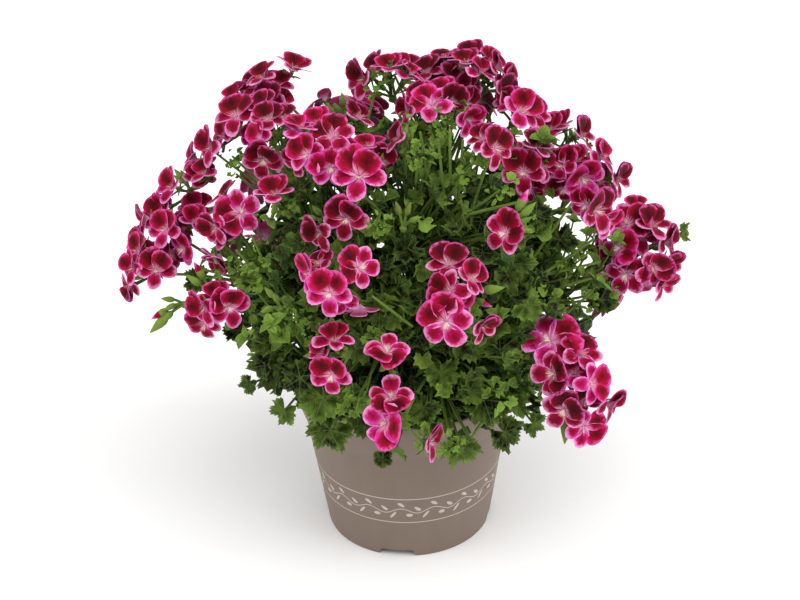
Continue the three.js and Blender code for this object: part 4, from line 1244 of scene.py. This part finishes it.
def inside(outline, point):
    """Whether a point in mm is seen inside an outline."""
    ahead = ahead_of(point)
    column = EYE_COLUMN + (point - EYE).dot(EYE_RIGHT) / ahead * EYE_FOCAL
    row = EYE_ROW - (point - EYE).dot(EYE_UP) / ahead * EYE_FOCAL
    within = False
    for (x0, y0), (x1, y1) in zip(outline, outline[1:] + outline[:1]):
        if (y0 > row) != (y1 > row) and column < x0 + (row - y0) / (y1 - y0) * (x1 - x0):
            within = not within
    return within


def crown_fill():
    """Leaves that fill the crown between its stems, darker on the inner shells as painted shade."""
    dice = random.Random(77)
    for count, share, low, size, bright in SHELLS:
        for i in range(count):
            level = low + (1 - low) * (i + 0.5) / count
            bearing = i * GOLDEN_TURN + share * 9
            ring = math.sqrt(1 - min(level * level, 1))
            outward = Vector((math.cos(bearing) * ring, math.sin(bearing) * ring, level))
            reach = share * dice.uniform(0.84, 1.08)
            place = SHELL_CENTRE + outward * Vector(SHELL_HALVES) * reach
            tilt = stray(dice, -0.8, 0.8)
            normal = (outward * 0.7 + UP * 0.5 + tilt * 1.1).normalized()
            top = outward - UP * 0.6 + tilt * 0.5
            radius = size * dice.uniform(0.6, 1.25)
            if inside(DENSE, place):
                # Tone: the shell's brightness, lowered on inner shells as painted shade, times a random share
                yield frame_of(place, normal, top, radius), bright * dice.random() ** 2


def shoots(runs_of, leaves_of):
    """Thin side shoots with whorls of young leaves, most of them where the green is loose."""
    dice = random.Random(31)
    made = 0
    while made < SHOOTS:
        cutting = dice.choice(list(BRANCHES))
        points = dice.choice(BRANCHES[cutting])
        foot = Vector(points[dice.randrange(60, BRANCH_POINTS - 1)])
        outward = (foot - Vector((0, 0, 60))).normalized()
        lean = stray(dice, -0.3, 0.9)
        tip = foot + (outward + UP * 0.45 + lean * 0.8).normalized() * dice.uniform(22, 58)
        if not inside(LOOSE, tip) or tip.z > SHOOT_TOP or (inside(DENSE, tip) and dice.random() < 0.55):
            continue
        made += 1
        middle = foot.lerp(tip, 0.5) + outward * 3 - UP * 2
        curve = bent(foot, middle, tip, 8)
        bright = dice.uniform(0.55, 1.1)
        runs_of[cutting].append((curve, [1.0, 0.8, 0.7, 0.65, 0.6, 0.55, 0.5, 0.45], 5, bright * 0.8))
        heading = (tip - middle).normalized()
        side = heading.orthogonal().normalized()
        for step, count, size in ((7, dice.randrange(3, 6), 1), (5, 2, 1.15), (3, 1, 1.3)):
            base = Vector(curve[step])
            for i in range(count):
                turn = 2 * math.pi * (i + dice.uniform(-0.2, 0.2)) / count + step
                around = side * math.cos(turn) + heading.cross(side) * math.sin(turn)
                along = (around + heading * dice.uniform(0.1, 1.1)).normalized()
                normal = (heading - along * heading.dot(along)).normalized()
                at = frame_of(base, normal, along, dice.uniform(5, 9.5) * size)
                leaf = dice.choice(YOUNG_LEAVES)
                leaves_of[cutting].append(copied(leaf, at, bright * dice.uniform(0.7, 1.1)))


def stalks_and_tufts(runs_of, leaves_of):
    dice = random.Random(63)
    for column, row, end_column, end_row, depth in SEEN_STALKS:
        start = point_at_depth(column, row, depth)
        end = point_at_depth(end_column, end_row, depth + 6)
        low, high = sorted((start, end), key=lambda point: point.z)
        foot, cutting = nearest_spot(low.lerp(CROWN, 0.4) - UP * 12, 0.2, 1)
        middle = low.lerp(high, 0.5) - AHEAD * 2
        points = np.concatenate((bent(foot, low.lerp(foot, 0.3), low, 5)[:-1], bent(low, middle, high, 5)))
        runs_of[cutting].append((points, np.linspace(1.0, 0.7, 9), 5, dice.uniform(0.6, 1.1)))
    for column, row, depth, breadth in TUFTS:
        centre = point_at_depth(column, row, depth)
        spread = seen_radius(breadth, ahead_of(centre))
        foot, cutting = nearest_spot(centre.lerp(CROWN, 0.35) - UP * 12, 0.2, 1)
        outward = (centre - CROWN).normalized()
        curve = bent(foot, foot.lerp(centre, 0.6) - UP * 3, centre, 7)
        runs_of[cutting].append((curve, [1.0, 0.9, 0.8, 0.8, 0.7, 0.7, 0.6], 5, 0.8))
        for i in range(TUFT_LEAVES):
            turn = i * GOLDEN_TURN
            reach = spread * math.sqrt((i + 0.3) / TUFT_LEAVES)
            around = EYE_RIGHT * math.cos(turn) + EYE_UP * math.sin(turn)
            place = centre + around * reach + outward * dice.uniform(-2, 4)
            normal = (outward * 0.6 - AHEAD * 0.4 + stray(dice) * 0.8).normalized()
            leaf = dice.choice(FILL_LEAVES + YOUNG_LEAVES)
            size = spread * (dice.uniform(0.36, 0.6) if leaf in FILL_LEAVES else dice.uniform(0.6, 1))
            at = frame_of(place, normal, around, size)
            leaves_of[cutting].append(copied(leaf, at, dice.uniform(0.55, 1.15)))


def dress_greens():
    dice = random.Random(5)
    runs_of = {name: stem_runs(name) for name in CUTTINGS}
    leaves_of = {name: [] for name in CUTTINGS}
    fill_of = {name: [] for name in CUTTINGS}
    for head in HEADS:
        curve, cutting = peduncle(head["hub"])
        runs_of[cutting].append((curve, [1.15, 1.0, 0.95, 0.9, 0.85, 0.85, 0.85, 0.9, 1.0], 6, 0.6))
    for at in [*seen_leaf_frames(), *ring_leaf_frames()]:
        tone = 0.03 + 0.42 * dice.random() ** 1.8
        cutting, leaf = leaf_on_stalk(at, dice, FULL_LEAVES, tone, runs_of)
        leaves_of[cutting].append(leaf)
    for at, tone in crown_fill():
        cutting, leaf = leaf_on_stalk(at, dice, FILL_LEAVES, tone, runs_of)
        fill_of[cutting].append(leaf)
    shoots(runs_of, fill_of)
    stalks_and_tufts(runs_of, fill_of)
    for hub, buds in BUD_HEADS:
        place = point_at_depth(*hub)
        curve, cutting = peduncle(place)
        runs_of[cutting].append((curve, [1.1] * 9, 6, 0.8))
        ahead = ahead_of(place) - PEDICEL_REACH * 0.3
        stalks = []
        parts = [
            bud_on_stalk(place, point_ahead(column, row, ahead), bool(opening), 0.9, stalks)
            for column, row, *opening in buds]
        stalks.append(([place - UP * 2, place, place + UP * 1.5], [1.2, 2, 0.8], 6, 0.9))
        parts.append(tubes("stalks", stalks, FLOWER_SKINS, STALK))
        leaves_of[cutting].append(joined(parts, "bud_head"))
    for name, (root, _) in CUTTINGS.items():
        foot = [(*root, height) for height, _ in WOOD]
        wood = tubes("wood", [(foot, [radius for _, radius in WOOD], 10, 0)], GREEN_SKINS, BARK)
        green = tubes("stems", runs_of[name], GREEN_SKINS, STALK)
        stems = joined([wood, green, *leaves_of[name]], name + "_and_leaves")
        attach(stems, "root")
        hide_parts(name)
        fill = joined(fill_of[name], name + "_inner_leaves")
        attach(fill, "root")


# Pot and soil

def spun(name, profile, steps, material):
    """A profile of (radius, height) in mm, spun about Z and closed on the axis."""
    points = [(radius * MM, 0, height * MM) for radius, height in profile]
    obj = new_object(name, points, [(i, i + 1) for i in range(len(points) - 1)], [], [material])
    alone(obj)
    bpy.ops.object.mode_set(mode="EDIT")
    bpy.ops.mesh.select_all(action="SELECT")
    bpy.ops.mesh.spin(steps=steps, angle=2 * math.pi, center=(0, 0, 0), axis=(0, 0, 1))
    bpy.ops.mesh.select_all(action="SELECT")
    bpy.ops.mesh.remove_doubles(threshold=0.00002)
    bpy.ops.mesh.normals_make_consistent(inside=False)
    bpy.ops.object.mode_set(mode="OBJECT")
    return obj


def channel_block(bearing, extra, material):
    """A block that fills a foot channel, narrower at the roof, and is larger all round by the extra."""
    obj = primitive(bpy.ops.mesh.primitive_cube_add, size=2)
    for vertex in obj.data.vertices:
        roof = vertex.co.z > 0
        half = (CHANNEL_HALF_ROOF if roof else CHANNEL_HALF_FOOT) + extra
        height = CHANNEL_HEIGHT + extra if roof else -1
        reach = CHANNEL_OUTER if vertex.co.x > 0 else CHANNEL_INNER - extra
        vertex.co = (reach * MM, math.copysign(half, vertex.co.y) * MM, height * MM)
    obj.data.transform(Matrix.Rotation(bearing, 4, "Z"))
    obj.data.materials.append(material)
    return obj


def drain_drill(bearing, material):
    obj = primitive(
        bpy.ops.mesh.primitive_cylinder_add, vertices=24, radius=DRAIN_RADIUS * MM, depth=12 * MM)
    place = (math.cos(bearing) * DRAIN_DISTANCE, math.sin(bearing) * DRAIN_DISTANCE, CHANNEL_HEIGHT)
    obj.data.transform(Matrix.Translation(Vector(place) * MM))
    obj.data.materials.append(material)
    return obj


def cut(obj, tool):
    apply_modifier(obj, "BOOLEAN", operation="DIFFERENCE", solver="EXACT", object=tool)
    bpy.data.objects.remove(tool)


def dress_pot():
    plastic = pot_plastic()
    pot = spun("pot_shell", POT_OUTSIDE, 128, plastic)
    hollow = spun("pot_hollow", POT_INSIDE, 128, plastic)
    bearings = [CHANNEL_FIRST + i * math.pi / 2 for i in range(CHANNELS)]
    for bearing in bearings:
        cut(hollow, channel_block(bearing, WALL, plastic))
    cut(pot, hollow)
    for bearing in bearings:
        cut(pot, channel_block(bearing, 0, plastic))
        cut(pot, drain_drill(bearing, plastic))
    smooth(pot, 32)
    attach(pot, "root")
    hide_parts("pot")


def soil_height(radius):
    return SOIL_TOP + SOIL_CROWN * (1 - (radius / SOIL_RIM) ** 2)


def dress_soil():
    earth = peat()
    profile = SOIL_SIDE + [(radius, soil_height(radius)) for radius in SOIL_RINGS]
    soil = spun("soil_peat", profile, 96, earth)
    for vertex in soil.data.vertices:
        x, y, z = vertex.co
        # The surface is uneven but for its edge
        if z > (SOIL_TOP - 0.2) * MM and math.hypot(x, y) < SOIL_ROUGH_WITHIN * MM:
            vertex.co.z += noise.noise(vertex.co * 160) * 0.0011 + noise.noise(vertex.co * 420) * 0.0006
    dice = random.Random(12)
    parts = [soil]
    for _ in range(CRUMBS):
        bearing = dice.uniform(0, 2 * math.pi)
        reach = CRUMB_REACH * math.sqrt(dice.random())
        size = dice.uniform(0.8, 2.2)
        crumb = primitive(bpy.ops.mesh.primitive_ico_sphere_add, subdivisions=1, radius=size * MM)
        for vertex in crumb.data.vertices:
            vertex.co *= dice.uniform(0.7, 1.15)
        place = (math.cos(bearing) * reach, math.sin(bearing) * reach, soil_height(reach) + size * 0.25)
        crumb.data.transform(Matrix.Translation(Vector(place) * MM))
        crumb.data.materials.append(earth)
        parts.append(crumb)
    soil = joined(parts, "soil_peat")
    smooth(soil, 60)
    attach(soil, "root")
    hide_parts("soil")


# Stage

def set_stage():
    floor = primitive(bpy.ops.mesh.primitive_plane_add, size=12)
    floor.name = "studio_floor"
    floor.data.materials.append(studio_paper())
    floor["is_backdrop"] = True
    world = bpy.data.worlds.new("studio_white")
    world.use_nodes = True
    back = world.node_tree.nodes["Background"]
    back.inputs[0].default_value = (1, 1, 1, 1)
    back.inputs[1].default_value = SKY_STRENGTH
    SCENE.world = world
    for bearing, height, strength in SUNS:
        bpy.ops.object.light_add(type="SUN", location=(0, 0, 1))
        sun = bpy.context.object.data
        sun.energy = strength
        sun.angle = SUN_BREADTH
        angle, rise = math.radians(bearing), math.radians(height)
        level = math.cos(rise)
        towards = Vector((math.sin(angle) * level, -math.cos(angle) * level, math.sin(rise)))
        bpy.context.object.rotation_euler = towards.to_track_quat("Z", "Y").to_euler()
    data = bpy.data.cameras.new("photo_eye")
    data.sensor_width = 36
    data.lens = data.sensor_width * EYE_FOCAL / PICTURE_COLUMNS
    camera = bpy.data.objects.new("photo_eye", data)
    SCENE.collection.objects.link(camera)
    turned = Matrix((EYE_RIGHT, EYE_UP, -AHEAD)).transposed().to_4x4()
    camera.matrix_world = Matrix.Translation(EYE * MM) @ turned
    SCENE.camera = camera
    SCENE.view_settings.view_transform = "Standard"


HEADS = [*front_heads(), *back_heads()]
set_stage()
dress_pot()
dress_soil()
dress_greens()
for number, head in enumerate(HEADS):
    dress_head(head, number)
for template in TEMPLATES:
    bpy.data.objects.remove(template)

sizes = [[[float(c) for c in corner] for corner in box] for box in (cad_box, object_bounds())]
